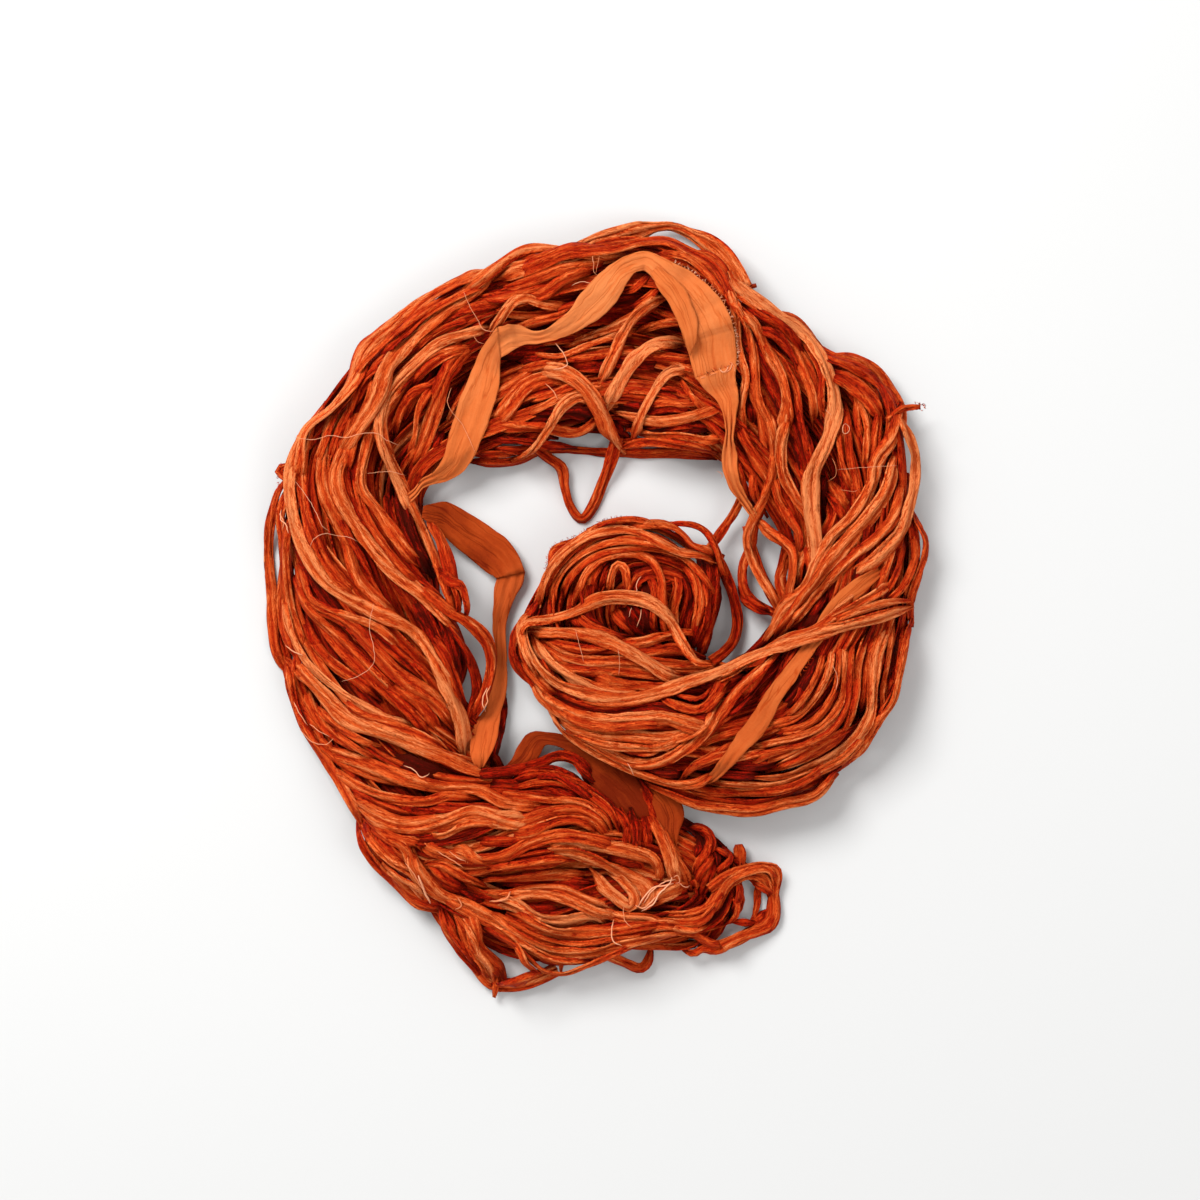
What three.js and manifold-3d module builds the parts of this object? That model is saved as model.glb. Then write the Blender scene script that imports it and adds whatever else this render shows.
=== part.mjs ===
// Skein of sari silk ribbon yarn, laid down as one loosely twisted bundle that curls in on itself.
// Millimetres, +Z up, the table top at z = 0, the origin under the middle of the whole outline.

import * as THREE from "three";
import { mergeVertices } from "three/addons/utils/BufferGeometryUtils.js";
import Module from "manifold-3d";

const wasm = await Module();
wasm.setup();

// ---- driving dimensions ----
const GROUPS = 8;             // groups of strands that show round the bundle
const GROUP_POINTS = 4;       // section points on each group
const GROOVE = 0.15;          // depth of the groove between two groups, as a share of the half width
const CENTRE_SHARE = 0.40;    // height of the section's centre, as a share of the bundle's height
const SIDE_ROUND = 0.86;      // below 1 makes the section fuller than an ellipse
const UNEVEN = 0.035;         // how far the bundle swells and thins along its run
const STATIONS_PER_ROW = 2;   // sections between two rows of a table
const GAP = 0.9;              // what a loose length keeps to the bundle, across the bundle's section
const CRUMPLED = 2.8;         // thickness of a loose length, which is ribbon crumpled on itself
const FLAT = 1.6;             // thickness of a band of flat ribbon
const LAID_CLEAR = 0.7;       // gap under a band laid over the uneven bundle
const LOWEST = 0.9;           // lowest height of a loose length over the table

// The bundle from its looped end, round the left, the top and the right, to the start of its curl.
// A row is one section: its outer and inner edge on the table, its height, and how far the strands
// have turned round the bundle by then, in degrees.
const ARM = [
  { outer: [90, -149], inner: [83, -132], height: 10, turn: 0 },
  { outer: [80, -165], inner: [72, -121], height: 16, turn: 4 },
  { outer: [60, -172], inner: [54, -112], height: 22, turn: 8 },
  { outer: [36, -173], inner: [32, -100], height: 27, turn: 14 },
  { outer: [6, -176], inner: [7, -89], height: 31, turn: 22 },
  { outer: [-26, -184], inner: [-19, -81], height: 33, turn: 34 },
  { outer: [-58, -180], inner: [-39, -78], height: 34, turn: 56 },
  { outer: [-91, -147], inner: [-50, -78], height: 34, turn: 92 },
  { outer: [-118, -114], inner: [-55, -66], height: 34, turn: 136 },
  { outer: [-139, -75], inner: [-57, -45], height: 34, turn: 184 },
  { outer: [-157, -30], inner: [-60, -20], height: 33, turn: 228 },
  { outer: [-165, 10], inner: [-68, 9], height: 33, turn: 260 },
  { outer: [-165, 45], inner: [-78, 36], height: 33, turn: 282 },
  { outer: [-155, 79], inner: [-86, 58], height: 33, turn: 298 },
  { outer: [-131, 112], inner: [-75, 67], height: 33, turn: 308 },
  { outer: [-104, 145], inner: [-59, 71], height: 33, turn: 316 },
  { outer: [-74, 166], inner: [-39, 74], height: 33, turn: 322 },
  { outer: [-39, 180], inner: [-19, 76], height: 32, turn: 328 },
  { outer: [1, 185], inner: [5, 77], height: 31, turn: 332 },
  { outer: [40, 184], inner: [29, 75], height: 31, turn: 332 },
  { outer: [71, 164], inner: [53, 73], height: 32, turn: 326 },
  { outer: [103, 140], inner: [63, 63], height: 33, turn: 314 },
  { outer: [136, 120], inner: [71, 45], height: 34, turn: 298 },
  { outer: [155, 94], inner: [79, 22], height: 35, turn: 278 },
  { outer: [164, 55], inner: [83, 5], height: 36, turn: 258 },
  { outer: [165, 20], inner: [85, -10], height: 37, turn: 242 },
  { outer: [159, -15], inner: [79, -20], height: 38, turn: 230 },
  { outer: [150, -50], inner: [69, -28], height: 39, turn: 224 },
  { outer: [129, -78], inner: [57, -34], height: 40, turn: 222 },
  { outer: [99, -98], inner: [46, -34], height: 41, turn: 224 },
  { outer: [66, -100], inner: [36, -29], height: 42, turn: 230 },
  { outer: [31, -90], inner: [24, -24], height: 42, turn: 246 },
  { outer: [-4, -70], inner: [17, -19], height: 41, turn: 270 },
  { outer: [-31, -45], inner: [12, -13], height: 40, turn: 300 },
  { outer: [-44, -15], inner: [9, -5], height: 38, turn: 330 },
];

// The last turn of the curl, from where the bundle rounds its left end to where it closes the ring.
const CURL = [
  { outer: [-29, -41], inner: [11, -12], height: 36, turn: 300 },
  { outer: [-44, -15], inner: [9, -5], height: 38, turn: 330 },
  { outer: [-33, 17], inner: [11, 3], height: 37, turn: 356 },
  { outer: [-14, 39], inner: [17, 9], height: 36, turn: 376 },
  { outer: [16, 48], inner: [25, 9], height: 35, turn: 392 },
  { outer: [45, 43], inner: [31, 4], height: 34, turn: 406 },
  { outer: [61, 25], inner: [34, -2], height: 33, turn: 418 },
  { outer: [64, 0], inner: [34, -8], height: 33, turn: 428 },
  { outer: [60, -22], inner: [31, -12], height: 32, turn: 436 },
  { outer: [51, -40], inner: [28, -15], height: 28, turn: 442 },
];

// Loose lengths that leave the bundle and come back to it. A row is a place on the length's middle
// line, its width there, and how far it is turned from lying flat, in degrees.
const TOP_LOOP = [
  { x: -16, y: 176, z: 12, width: 8, lean: 20 },
  { x: 0, y: 187, z: 7, width: 8, lean: 20 },
  { x: 19, y: 191.5, z: 5, width: 7, lean: 15 },
  { x: 38, y: 191.5, z: 5, width: 8, lean: 10 },
  { x: 52, y: 187.5, z: 6, width: 9, lean: 10 },
  { x: 64, y: 181, z: 7, width: 10, lean: 15 },
  { x: 73, y: 168, z: 12, width: 10, lean: 20 },
  { x: 79, y: 158, z: 16, width: 9, lean: 20 },
];
const INNER_RIBBON = [
  { x: -90, y: 53, z: 13, width: 8, lean: 25 },
  { x: -80, y: 47, z: 11, width: 10, lean: 20 },
  { x: -68, y: 39, z: 9, width: 13, lean: 15 },
  { x: -54, y: 28, z: 7, width: 13, lean: 15 },
  { x: -45.5, y: 19, z: 6, width: 11, lean: 25 },
  { x: -46, y: 6, z: 5, width: 8, lean: 20 },
  { x: -48, y: -8, z: 5, width: 7, lean: 15 },
  { x: -48.5, y: -23, z: 5, width: 8, lean: 15 },
  { x: -50, y: -40, z: 6, width: 10, lean: 15 },
  { x: -54, y: -58, z: 8, width: 11, lean: 20 },
  { x: -57, y: -72, z: 12, width: 10, lean: 20 },
];
const V_LOOP = [
  { x: -29, y: 80, z: 8, width: 5, lean: 10 },
  { x: -21, y: 72.5, z: 6, width: 6, lean: 15 },
  { x: -18.5, y: 62, z: 4, width: 6, lean: 20 },
  { x: -15, y: 51, z: 3, width: 6, lean: 15 },
  { x: -8, y: 47, z: 3, width: 5, lean: 5 },
  { x: -2.5, y: 53, z: 3, width: 6, lean: 15 },
  { x: 1.5, y: 63, z: 4, width: 6, lean: 20 },
  { x: 6, y: 74, z: 6, width: 6, lean: 15 },
  { x: 9, y: 84, z: 8, width: 5, lean: 10 },
];
const EYE_LOOP = [
  { x: 58, y: 25, z: 9, width: 5, lean: 20 },
  { x: 66, y: 14, z: 7, width: 5, lean: 20 },
  { x: 71, y: 2, z: 6, width: 5, lean: 20 },
  { x: 72.5, y: -8, z: 6, width: 5, lean: 15 },
  { x: 68, y: -19, z: 8, width: 5, lean: 15 },
  { x: 60, y: -27, z: 10, width: 5, lean: 15 },
];
const RIGHT_LOOP = [
  { x: 83, y: 53, z: 11, width: 5, lean: 15 },
  { x: 78.5, y: 44, z: 9, width: 5, lean: 15 },
  { x: 77, y: 33, z: 7, width: 6, lean: 15 },
  { x: 74, y: 21, z: 12.5, width: 5, lean: 10 },
  { x: 75.5, y: 8, z: 12, width: 5, lean: 15 },
  { x: 82, y: 0, z: 9, width: 6, lean: 15 },
  { x: 92, y: -5, z: 10, width: 5, lean: 15 },
];
const TAIL_RIBBON = [
  { x: -47, y: -84, z: 17, width: 7, lean: 35 },
  { x: -42, y: -73, z: 12, width: 8, lean: 30 },
  { x: -34, y: -65, z: 8, width: 9, lean: 25 },
  { x: -23, y: -63, z: 6, width: 8, lean: 20 },
  { x: -14, y: -70, z: 6, width: 10, lean: 15 },
  { x: -5, y: -82, z: 8, width: 12, lean: 20 },
  { x: 3, y: -94, z: 12, width: 12, lean: 20 },
];
const TAIL_LOOP = [
  { x: 54, y: -136, z: 17, width: 6, lean: 10 },
  { x: 66, y: -131, z: 15, width: 6, lean: 10 },
  { x: 77, y: -127, z: 12, width: 7, lean: 15 },
  { x: 87, y: -125, z: 9, width: 7, lean: 15 },
  { x: 93, y: -131, z: 6, width: 7, lean: 15 },
  { x: 95.5, y: -141, z: 4, width: 7, lean: 10 },
  { x: 94, y: -152, z: 4, width: 7, lean: 10 },
  { x: 88, y: -162, z: 5, width: 7, lean: 10 },
  { x: 77, y: -166, z: 8, width: 7, lean: 10 },
];
const CORNER_LOOP = [
  { x: -90, y: -140, z: 11, width: 9, lean: 20 },
  { x: -84, y: -151, z: 9, width: 10, lean: 15 },
  { x: -74, y: -164, z: 7, width: 9, lean: 15 },
  { x: -65, y: -177, z: 5, width: 9, lean: 15 },
  { x: -56, y: -188, z: 4, width: 8, lean: 10 },
  { x: -43, y: -191.5, z: 4, width: 7, lean: 10 },
  { x: -31, y: -187, z: 5, width: 6, lean: 10 },
  { x: -20, y: -181, z: 7, width: 6, lean: 10 },
];

// Bands of uncrumpled ribbon that lie on top of the bundle. A row is a place and the width there.
const WIDE_BAND = [
  { x: -88, y: 66, width: 9 },
  { x: -80, y: 71, width: 15 },
  { x: -68, y: 79, width: 20 },
  { x: -60, y: 98, width: 20 },
  { x: -55, y: 116, width: 18 },
  { x: -49, y: 132, width: 14 },
  { x: -38, y: 137, width: 13 },
  { x: -24, y: 138, width: 14 },
  { x: -11, y: 146, width: 17 },
  { x: 1, y: 158, width: 18 },
  { x: 11, y: 167, width: 17 },
  { x: 23, y: 170, width: 15 },
  { x: 35, y: 164, width: 21 },
  { x: 45, y: 151, width: 24 },
  { x: 54, y: 136, width: 25 },
  { x: 62, y: 117, width: 23 },
  { x: 67, y: 100, width: 12 },
  { x: 68, y: 86, width: 7 },
  { x: 69, y: 74, width: 8 },
  { x: 72, y: 62, width: 7 },
];
const LOWER_BAND = [
  { x: 134, y: 13, width: 6 },
  { x: 124, y: 4, width: 9 },
  { x: 116, y: -6, width: 10 },
  { x: 108, y: -17, width: 9 },
  { x: 100, y: -28, width: 8 },
  { x: 92, y: -39, width: 9 },
  { x: 85, y: -50, width: 10 },
  { x: 76, y: -61, width: 10 },
  { x: 66, y: -72, width: 9 },
  { x: 56, y: -83, width: 6 },
];

// ---- helpers ----
const radians = THREE.MathUtils.degToRad;
const softPower = (value, power) => Math.sign(value) * Math.abs(value) ** power;

function solidOf(geometry) {
  geometry.deleteAttribute("normal");
  geometry.deleteAttribute("uv");
  const merged = mergeVertices(geometry, 1e-4);
  return new wasm.Manifold(new wasm.Mesh({
    numProp: 3,
    vertProperties: merged.attributes.position.array,
    triVerts: new Uint32Array(merged.index.array),
  }));
}

function geometryOf(solid) {
  const mesh = solid.getMesh();
  const geometry = new THREE.BufferGeometry();
  geometry.setAttribute("position", new THREE.BufferAttribute(mesh.vertProperties, mesh.numProp));
  geometry.setIndex(new THREE.BufferAttribute(mesh.triVerts, 1));
  geometry.computeVertexNormals();
  return geometry;
}

// A closed skin over a run of like rings of points, each end closed by a fan round its middle.
function skinOverRings(rings) {
  const count = rings[0].length;
  const points = rings.flat();
  const index = [];
  for (let s = 0; s + 1 < rings.length; s += 1) {
    for (let j = 0; j < count; j += 1) {
      const a = s * count + j;
      const b = s * count + ((j + 1) % count);
      index.push(a, a + count, b, b, a + count, b + count);
    }
  }
  const ends = [[rings[0], 0, true], [rings.at(-1), (rings.length - 1) * count, false]];
  for (const [ring, first, isStart] of ends) {
    const middle = ring.reduce((sum, p) => sum.add(p), new THREE.Vector3()).divideScalar(count);
    const hub = points.push(middle) - 1;
    for (let j = 0; j < count; j += 1) {
      const pair = [first + j, first + ((j + 1) % count)];
      index.push(hub, ...(isStart ? pair : pair.reverse()));
    }
  }
  const geometry = new THREE.BufferGeometry().setFromPoints(points);
  geometry.setIndex(index);
  return geometry;
}

// A smooth run through a table: what(row) is a place or three numbers of that row.
function through(rows, what) {
  const places = rows.map((row) => new THREE.Vector3(...what(row)));
  return new THREE.CatmullRomCurve3(places, false, "centripetal");
}

// ---- the bundle ----
function bundle(rows, grow = 0) {
  const outerEdge = through(rows, ({ outer }) => [...outer, 0]);
  const innerEdge = through(rows, ({ inner }) => [...inner, 0]);
  const shape = through(rows, ({ height, turn }) => [height, turn, 0]);
  const stations = (rows.length - 1) * STATIONS_PER_ROW;
  const rings = [];
  for (let s = 0; s <= stations; s += 1) {
    const t = s / stations;
    const { x: height, y: turn } = shape.getPoint(t);
    rings.push(bundleRing(outerEdge.getPoint(t), innerEdge.getPoint(t), height, turn, grow));
  }
  return solidOf(skinOverRings(rings));
}

// One section: a fuller-than-round top and sides over a flat underside, with a groove between the
// groups of strands, whose points go round with them.
function bundleRing(outer, inner, height, turn, grow) {
  const middle = outer.clone().add(inner).multiplyScalar(0.5);
  const toInner = inner.clone().sub(middle);
  const halfWidth = toInner.length() + grow;
  toInner.normalize();
  const centre = CENTRE_SHARE * height;
  const rise = height - centre + grow;
  const points = GROUPS * GROUP_POINTS;
  const ring = [];
  for (let j = 0; j < points; j += 1) {
    const angle = radians(turn) + (2 * Math.PI * j) / points;
    const z = centre + rise * softPower(Math.sin(angle), SIDE_ROUND);
    const onTop = THREE.MathUtils.smoothstep(z, 0, centre);
    const groove = j % GROUP_POINTS === 0 ? GROOVE * onTop : 0;
    const swell = UNEVEN * onTop * Math.sin(1.9 * j + radians(3 * turn));
    const scale = 1 - groove + swell;
    const across = halfWidth * softPower(Math.cos(angle), SIDE_ROUND) * (z > 0 ? scale : 1);
    const lifted = centre + (z - centre) * scale;
    ring.push(middle.clone().addScaledVector(toInner, across).setZ(Math.max(lifted, -grow)));
  }
  return ring;
}

// ---- loose lengths ----
const OVAL = 8;               // sides of a crumpled length's section

function looseLength(rows) {
  const route = through(rows, ({ x, y, z }) => [x, y, z]);
  const shape = through(rows, ({ width, lean }) => [width, lean, 0]);
  const stations = (rows.length - 1) * STATIONS_PER_ROW;
  const rings = [];
  for (let s = 0; s <= stations; s += 1) {
    const t = s / stations;
    const { x: width, y: lean } = shape.getPoint(t);
    const along = route.getTangent(t);
    const flat = new THREE.Vector3(along.y, -along.x, 0).normalize();
    const side = flat.applyAxisAngle(along, radians(lean));
    const up = side.clone().cross(along).normalize();
    const middle = route.getPoint(t);
    rings.push(Array.from({ length: OVAL }, (_, j) => {
      const angle = (2 * Math.PI * (j + 0.5)) / OVAL;
      const place = middle.clone()
        .addScaledVector(side, (width / 2) * Math.cos(angle))
        .addScaledVector(up, (CRUMPLED / 2) * Math.sin(angle));
      return place.setZ(Math.max(place.z, LOWEST));
    }));
  }
  return solidOf(skinOverRings(rings));
}

// ---- bands that lie on the bundle ----
const ACROSS = 4;             // cells across a band
const FEEL = 5;               // a band bridges hollows narrower than twice this
const EASE = 3;               // rounds of smoothing along and across a band

function heightOver(body) {
  const ray = new THREE.Raycaster();
  const probe = new THREE.Mesh(geometryOf(body), new THREE.MeshBasicMaterial());
  const down = new THREE.Vector3(0, 0, -1);
  return (x, y) => {
    ray.set(new THREE.Vector3(x, y, 200), down);
    return ray.intersectObject(probe)[0]?.point.z ?? 0;
  };
}

function laidBand(rows, heightAt) {
  const route = through(rows, ({ x, y }) => [x, y, 0]);
  const widths = through(rows, ({ width }) => [width, 0, 0]);
  const stations = (rows.length - 1) * STATIONS_PER_ROW;
  const places = [];
  for (let s = 0; s <= stations; s += 1) {
    const t = s / stations;
    const along = route.getTangent(t);
    const side = new THREE.Vector3(along.y, -along.x, 0);
    const width = widths.getPoint(t).x;
    places.push(Array.from({ length: ACROSS + 1 }, (_, k) =>
      route.getPoint(t).addScaledVector(side, width * (k / ACROSS - 0.5))));
  }
  const floor = places.map((row) => row.map(({ x, y }) => highestNear(x, y, heightAt)));
  const heights = eased(floor);
  const rings = places.map((row, s) => {
    const under = row.map((p, k) => p.clone().setZ(heights[s][k]));
    const over = under.map((p) => p.clone().setZ(p.z + FLAT)).reverse();
    return [...under, ...over];
  });
  return solidOf(skinOverRings(rings));
}

function highestNear(x, y, heightAt) {
  let highest = heightAt(x, y);
  for (let k = 0; k < 8; k += 1) {
    const angle = (k * Math.PI) / 4;
    const reach = k % 2 ? FEEL / 2 : FEEL;
    highest = Math.max(highest, heightAt(x + reach * Math.cos(angle), y + reach * Math.sin(angle)));
  }
  return highest + LAID_CLEAR;
}

// Smooths a grid of heights without letting it sink under the first one.
function eased(floor) {
  let heights = floor;
  for (let round = 0; round < EASE; round += 1) {
    heights = heights.map((row, s) => row.map((z, k) => {
      const near = [heights[s - 1]?.[k], heights[s + 1]?.[k], row[k - 1], row[k + 1]];
      const found = near.filter((value) => value !== undefined);
      const mean = found.reduce((sum, value) => sum + value, z) / (found.length + 1);
      return Math.max(floor[s][k], mean);
    }));
  }
  return heights;
}

// ---- colours and assembly ----
const silk = (color) => new THREE.MeshStandardMaterial({ color, roughness: 0.62, metalness: 0 });
const RUST = 0xb23a16;
const ORANGE = 0xe0703a;
const BROWN = 0xa8481c;

const skein = bundle(ARM).add(bundle(CURL));
const keepClear = bundle(ARM, GAP).add(bundle(CURL, GAP));
const heightAt = heightOver(skein);

const loose = {
  top_loop: [TOP_LOOP, ORANGE],
  inner_ribbon: [INNER_RIBBON, BROWN],
  v_loop: [V_LOOP, RUST],
  eye_loop: [EYE_LOOP, RUST],
  right_loop: [RIGHT_LOOP, RUST],
  tail_ribbon: [TAIL_RIBBON, BROWN],
  tail_loop: [TAIL_LOOP, RUST],
  corner_loop: [CORNER_LOOP, RUST],
};
const bands = {
  wide_band: [WIDE_BAND, ORANGE],
  lower_band: [LOWER_BAND, ORANGE],
};

const group = new THREE.Group();

function addPiece(name, solid, color) {
  const mesh = new THREE.Mesh(geometryOf(solid), silk(color));
  mesh.name = name;
  group.add(mesh);
}

addPiece("skein", skein, RUST);
for (const [name, [rows, color]] of Object.entries(loose)) {
  addPiece(name, looseLength(rows).subtract(keepClear), color);
}
for (const [name, [rows, color]] of Object.entries(bands)) {
  addPiece(name, laidBand(rows, heightAt), color);
}

const outline = new THREE.Box3().setFromObject(group);
const middle = outline.getCenter(new THREE.Vector3());
group.position.set(-middle.x, -middle.y, -outline.min.z);

export default group;
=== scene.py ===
"""The skein of sari silk ribbon yarn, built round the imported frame.

Each strand of the bundle is one closed loop of crumpled ribbon that runs the whole skein twice. The
loops are laid out by a table of the bundle's sections and settled against each other and the table
top. The lengths that show are then laid on that pile one on another, along routes from tables, with
the flat bands, the loose loops beside the bundle, fine threads and frayed fibres.
Sizes are in millimetres until a mesh is made; Blender's are in metres.
"""
import math
from collections import namedtuple

import bpy
import numpy as np
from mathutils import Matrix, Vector


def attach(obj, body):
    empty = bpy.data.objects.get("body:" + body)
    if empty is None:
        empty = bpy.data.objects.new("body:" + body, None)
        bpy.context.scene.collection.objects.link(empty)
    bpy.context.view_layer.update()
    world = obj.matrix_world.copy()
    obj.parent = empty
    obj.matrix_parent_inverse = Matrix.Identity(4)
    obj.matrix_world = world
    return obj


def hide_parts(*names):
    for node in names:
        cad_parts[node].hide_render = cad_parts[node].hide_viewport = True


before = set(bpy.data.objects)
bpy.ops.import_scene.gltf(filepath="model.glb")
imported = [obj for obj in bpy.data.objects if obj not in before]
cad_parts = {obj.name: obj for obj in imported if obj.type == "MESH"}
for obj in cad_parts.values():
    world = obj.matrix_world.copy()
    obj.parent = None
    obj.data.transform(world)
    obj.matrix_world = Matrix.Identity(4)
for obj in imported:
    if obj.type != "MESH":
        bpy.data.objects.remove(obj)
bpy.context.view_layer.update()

MM = 0.001              # a millimetre in Blender's metres
UP = np.array([0.0, 0.0, 1.0])
SEED = 11
ANY_PHASE = 6.28        # a random phase is anything up to this, about a full turn

# ---------------------------------------------------------------- the camera and the plan
# Routes and edges are drawn in plan, and each place is moved so that the camera sees it there at
# the height that it comes to lie at.
PLAN_UP = 20.0                          # the height of the plan
CAMERA_OVER = np.array([1.25, 4.75])    # the place that the camera stands over
CAMERA_UP = 1436.7                      # how high it stands
LENS = 85                               # its focal length
SENSOR = 36                             # and the width of its sensor

# What varies along a run: a middle value and the random swings about it, each a size and a span in
# points or sections.
Varying = namedtuple("Varying", "middle swings")

# ---------------------------------------------------------------- the loops that fill the bundle
LOOPS = 27              # loops of ribbon; each crosses every section twice
PER_PIECE = 6           # loops in one Blender piece
CLUMPS = 9              # groups of strands that keep together
NEXT_LOOP = 2.399963    # how far round the section the next loop starts, in radians
RUN_POINTS = 190        # points on a loop's run from end to end
NODE_STEP = 5.0         # between the points that are settled
CENTRE_SHARE = 0.40     # height of a section's middle, as a share of its height
FILL = 0.93             # how much of a section's half width the strand centres reach
UNDER_TOP = 1.0         # how far they stay under the section's top
CLUMP_DRIFT = Varying(0.0, [(0.55, 30)])                # how a clump drifts round, in radians
RUN_DRIFT = Varying(0.0, [(0.28, 30), (0.10, 10)])      # and each of its strands besides
IN_AND_OUT = Varying(0.0, [(0.16, 34)])     # how a strand goes in and out, as a share of the way out
INNERMOST = 0.05        # nearest a strand comes to the section's middle, as a share of the way out
OUTERMOST = 1.04        # and furthest
BEND_POINTS = 9         # points on the bend that joins two runs, with the ends of both
TIGHTEST = 4.0          # tightest bend
TAIL_BEND = 14          # widest bend at the looped end
CURL_BEND = 12          # widest bend at the close of the curl
# How many sections short of an end a loop turns: the least, what an outer loop adds, the most that
# chance adds, and the power that chance is raised to, which makes a large one rare.
Short = namedtuple("Short", "least outer chance power")
TAIL_SHORT = Short(1.0, 1.3, 2.6, 1.6)
CURL_SHORT = Short(0.2, 0.8, 1.5, 2)
INNER_CHANCE = 1.15     # how much chance counts at the looped end, less how far out the loop lies
ON_STEP = 0.2           # sections between the two places that give the way on at an end

# ---------------------------------------------------------------- settling them
SETTLE_ROUNDS = 30      # how often the strands are pushed apart
PUSHES = 2              # pushes in a round
FIRST_PULL = 0.05       # how much of the way home the first round pulls a point, over the last
LAST_PULL = 0.01        # and the last round
SINK = 0.25             # how far a round lowers a point
STIFF = 0.30            # how far a push draws a point to the middle of its neighbours
SHARED = 0.6            # the pushes on one point are divided by this share of their number
OWN_REACH = 6           # points this near along one strand don't push each other
LEAST_GAP = 0.05        # points nearer than this are pushed as if this far apart
TOUCH = 6.2             # how near two strands' middles come side by side
SQUASH = 1.6            # how much nearer they come one above the other
FLOOR_REST = 1.9        # lowest height of a strand's middle

# ---------------------------------------------------------------- crumpled ribbon
# How wide the ribbon lies, the pleats across it and where they start, how far its middle stands over
# its edges, how far it rolls over in radians, how deep its pleats are as a share of what its cloth
# allows, its tone over its own, and how much painted shade darkens its rims, which is a painted
# highlight where that is below zero.
Crumpled = namedtuple("Crumpled", "width pleats phase crown roll deep tone rim")
STRAND = Crumpled(
    width=Varying(6.4, [(1.5, 14), (0.7, 4)]),
    pleats=Varying(2.0, [(0.7, 24)]),
    phase=Varying(0.0, [(2.6, 12)]),
    crown=Varying(1.1, [(0.8, 10)]),
    roll=Varying(0.0, [(0.7, 16), (0.3, 6)]),
    deep=Varying(0.75, [(0.45, 9)]),
    tone=Varying(0.0, [(0.16, 20)]),
    rim=Varying(0.1, [(0.8, 10)]),
)
# On a laid length the width, pleats, crown, roll and depth are shares of its own.
LAID = Crumpled(
    width=Varying(1.0, [(0.16, 9), (0.09, 2.5)]),
    pleats=Varying(1.0, [(0.25, 16)]),
    phase=Varying(0.0, [(3.0, 12)]),
    crown=Varying(1.0, [(0.45, 10)]),
    roll=Varying(0.0, [(1.0, 14)]),
    deep=Varying(1.0, [(0.5, 8)]),
    tone=Varying(0.0, [(0.12, 16)]),
    rim=Varying(0.1, [(0.9, 10)]),
)
FLUTTER = Varying(0.0, [(0.14, 5)])     # a laid length's small rolls, whatever its own
# A laid length's own crown, roll, depth and cloth width: of a crumpled one, and how much less on a
# wide one as it lies flatter.
Eased = namedtuple("Eased", "crumpled less")
OWN_CROWN = Eased(1.15, 0.5)
OWN_ROLL = Eased(0.45, 0.3)
OWN_DEEP = Eased(0.72, 0.45)
OWN_CUT = Eased(2.0, 0.6)
CROWN_WIDTH = 5         # a length this wide has its full crown
CROWN_MOST = 1.3        # and a wider one at most this many times as much
PLEATS_LEAST = 1.15     # pleats of a laid length, before its width adds some
PLEATS_PER_MM = 0.12    # and how many each millimetre adds
NARROW = 5.5            # a laid length under this width has fewer cells across
NARROW_CELLS = 10
WIDE_CELLS = 13

THICK = 0.7             # cloth thickness as modelled
CLEAR = 0.6             # how far a ribbon's middle stays above the table
SKEW = 0.14             # how unevenly the pleats are spaced
SKEW_DRIFT = 0.6        # how that drifts with their phase
LEAST_CLOTH = 1.02      # least cloth across a ribbon, as a share of how wide it lies
DEEPEST = 1.5           # deepest pleat
OVERHANG = 0.35         # how far a pleat leans over the next, as a share of its depth
OUTER_EASE = 0.25       # how much shallower the outermost pleats are
CROWN_LEVEL = 0.3       # how far a crown lifts the middle, against how far it drops the edges
WRINKLE_ASIDE = 0.5     # how far a wrinkle also goes sideways
PAINTED_RELIEF_SHADE = 0.34           # how much painted shade darkens the grooves of a ribbon, and painted light lightens its ridges
GROOVE_DEPTH = 1.1      # the depth at which a groove's painted shade is darkest
RIM_FALL = 6            # how fast the painted shade of a rim, a highlight below zero, falls off from the edge
UNDERSIDE_PAINTED_SHADE = 0.3        # how much more painted shade the underside gets, as if that much deeper in a groove
PATTERN_SHIFT = 100     # how far the fine pattern is shifted along a ribbon for each radian of its phase
FACING_ROUNDS = 3       # how often the facing of a ribbon is smoothed

# ---------------------------------------------------------------- strands of the bundle
RING_STEP = 4.5         # between the sections of a strand's mesh
ACROSS = 8              # cells across a strand
RIBBON = 16.0           # cut width of its ribbon
STRAND_SWAY = (0.9, 0.9, 0.5)
SWAY_SPAN = 7
FLARE_SPAN = 22
FLARE_OVER = 0.45       # a strand flares where a random swing is over this
FLARE = 8               # and gets this much wider for each unit over it
STRAND_WRINKLE = (0.28, 4)
STRAND_TONES = (0.05, 0.55)
STRAND_PATCH = (1.5, 0.1)   # its mark on the pile: a patch's radius, and how far it stands over a point

# ---------------------------------------------------------------- how a length is laid
LAID_STEP = 2.17        # between the sections of a laid length's mesh
LAID_SWAY = 0.35        # how far it strays from its route
LAID_SWAY_SPAN = 9
FEEL = 1.5              # how far round its middle a length feels the pile, at least
FEEL_SHARE = 0.34       # and as a share of its width
STEEPEST = 0.40         # the steepest that it dips into a hollow
REST_ROUNDS = 4         # how often its run is smoothed
HALF_HIGH = 0.9         # height of its middle over what it lies on
TUCK_RUN = 12.0         # how much of each end tucks in
TUCK = 8.0              # how deep an end tucks in
NARROW_RUN = 9          # how much of each end narrows
END_WIDTH = 0.28        # width of an end, as a share of its own
SHADED_END_RUN = 11           # how much of each end, where it tucks in, gets painted shade
END_PAINTED_SHADE = 0.32         # how much darker the painted shade makes an end
WIDE = 7                # a length this wide lies flatter
FLATTER = 0.2           # by this much
SLOPE_SPAN = 6.0        # how far to each side the pile's slope under it is felt
STEEPEST_PILE = 0.9     # the steepest slope that counts
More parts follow.
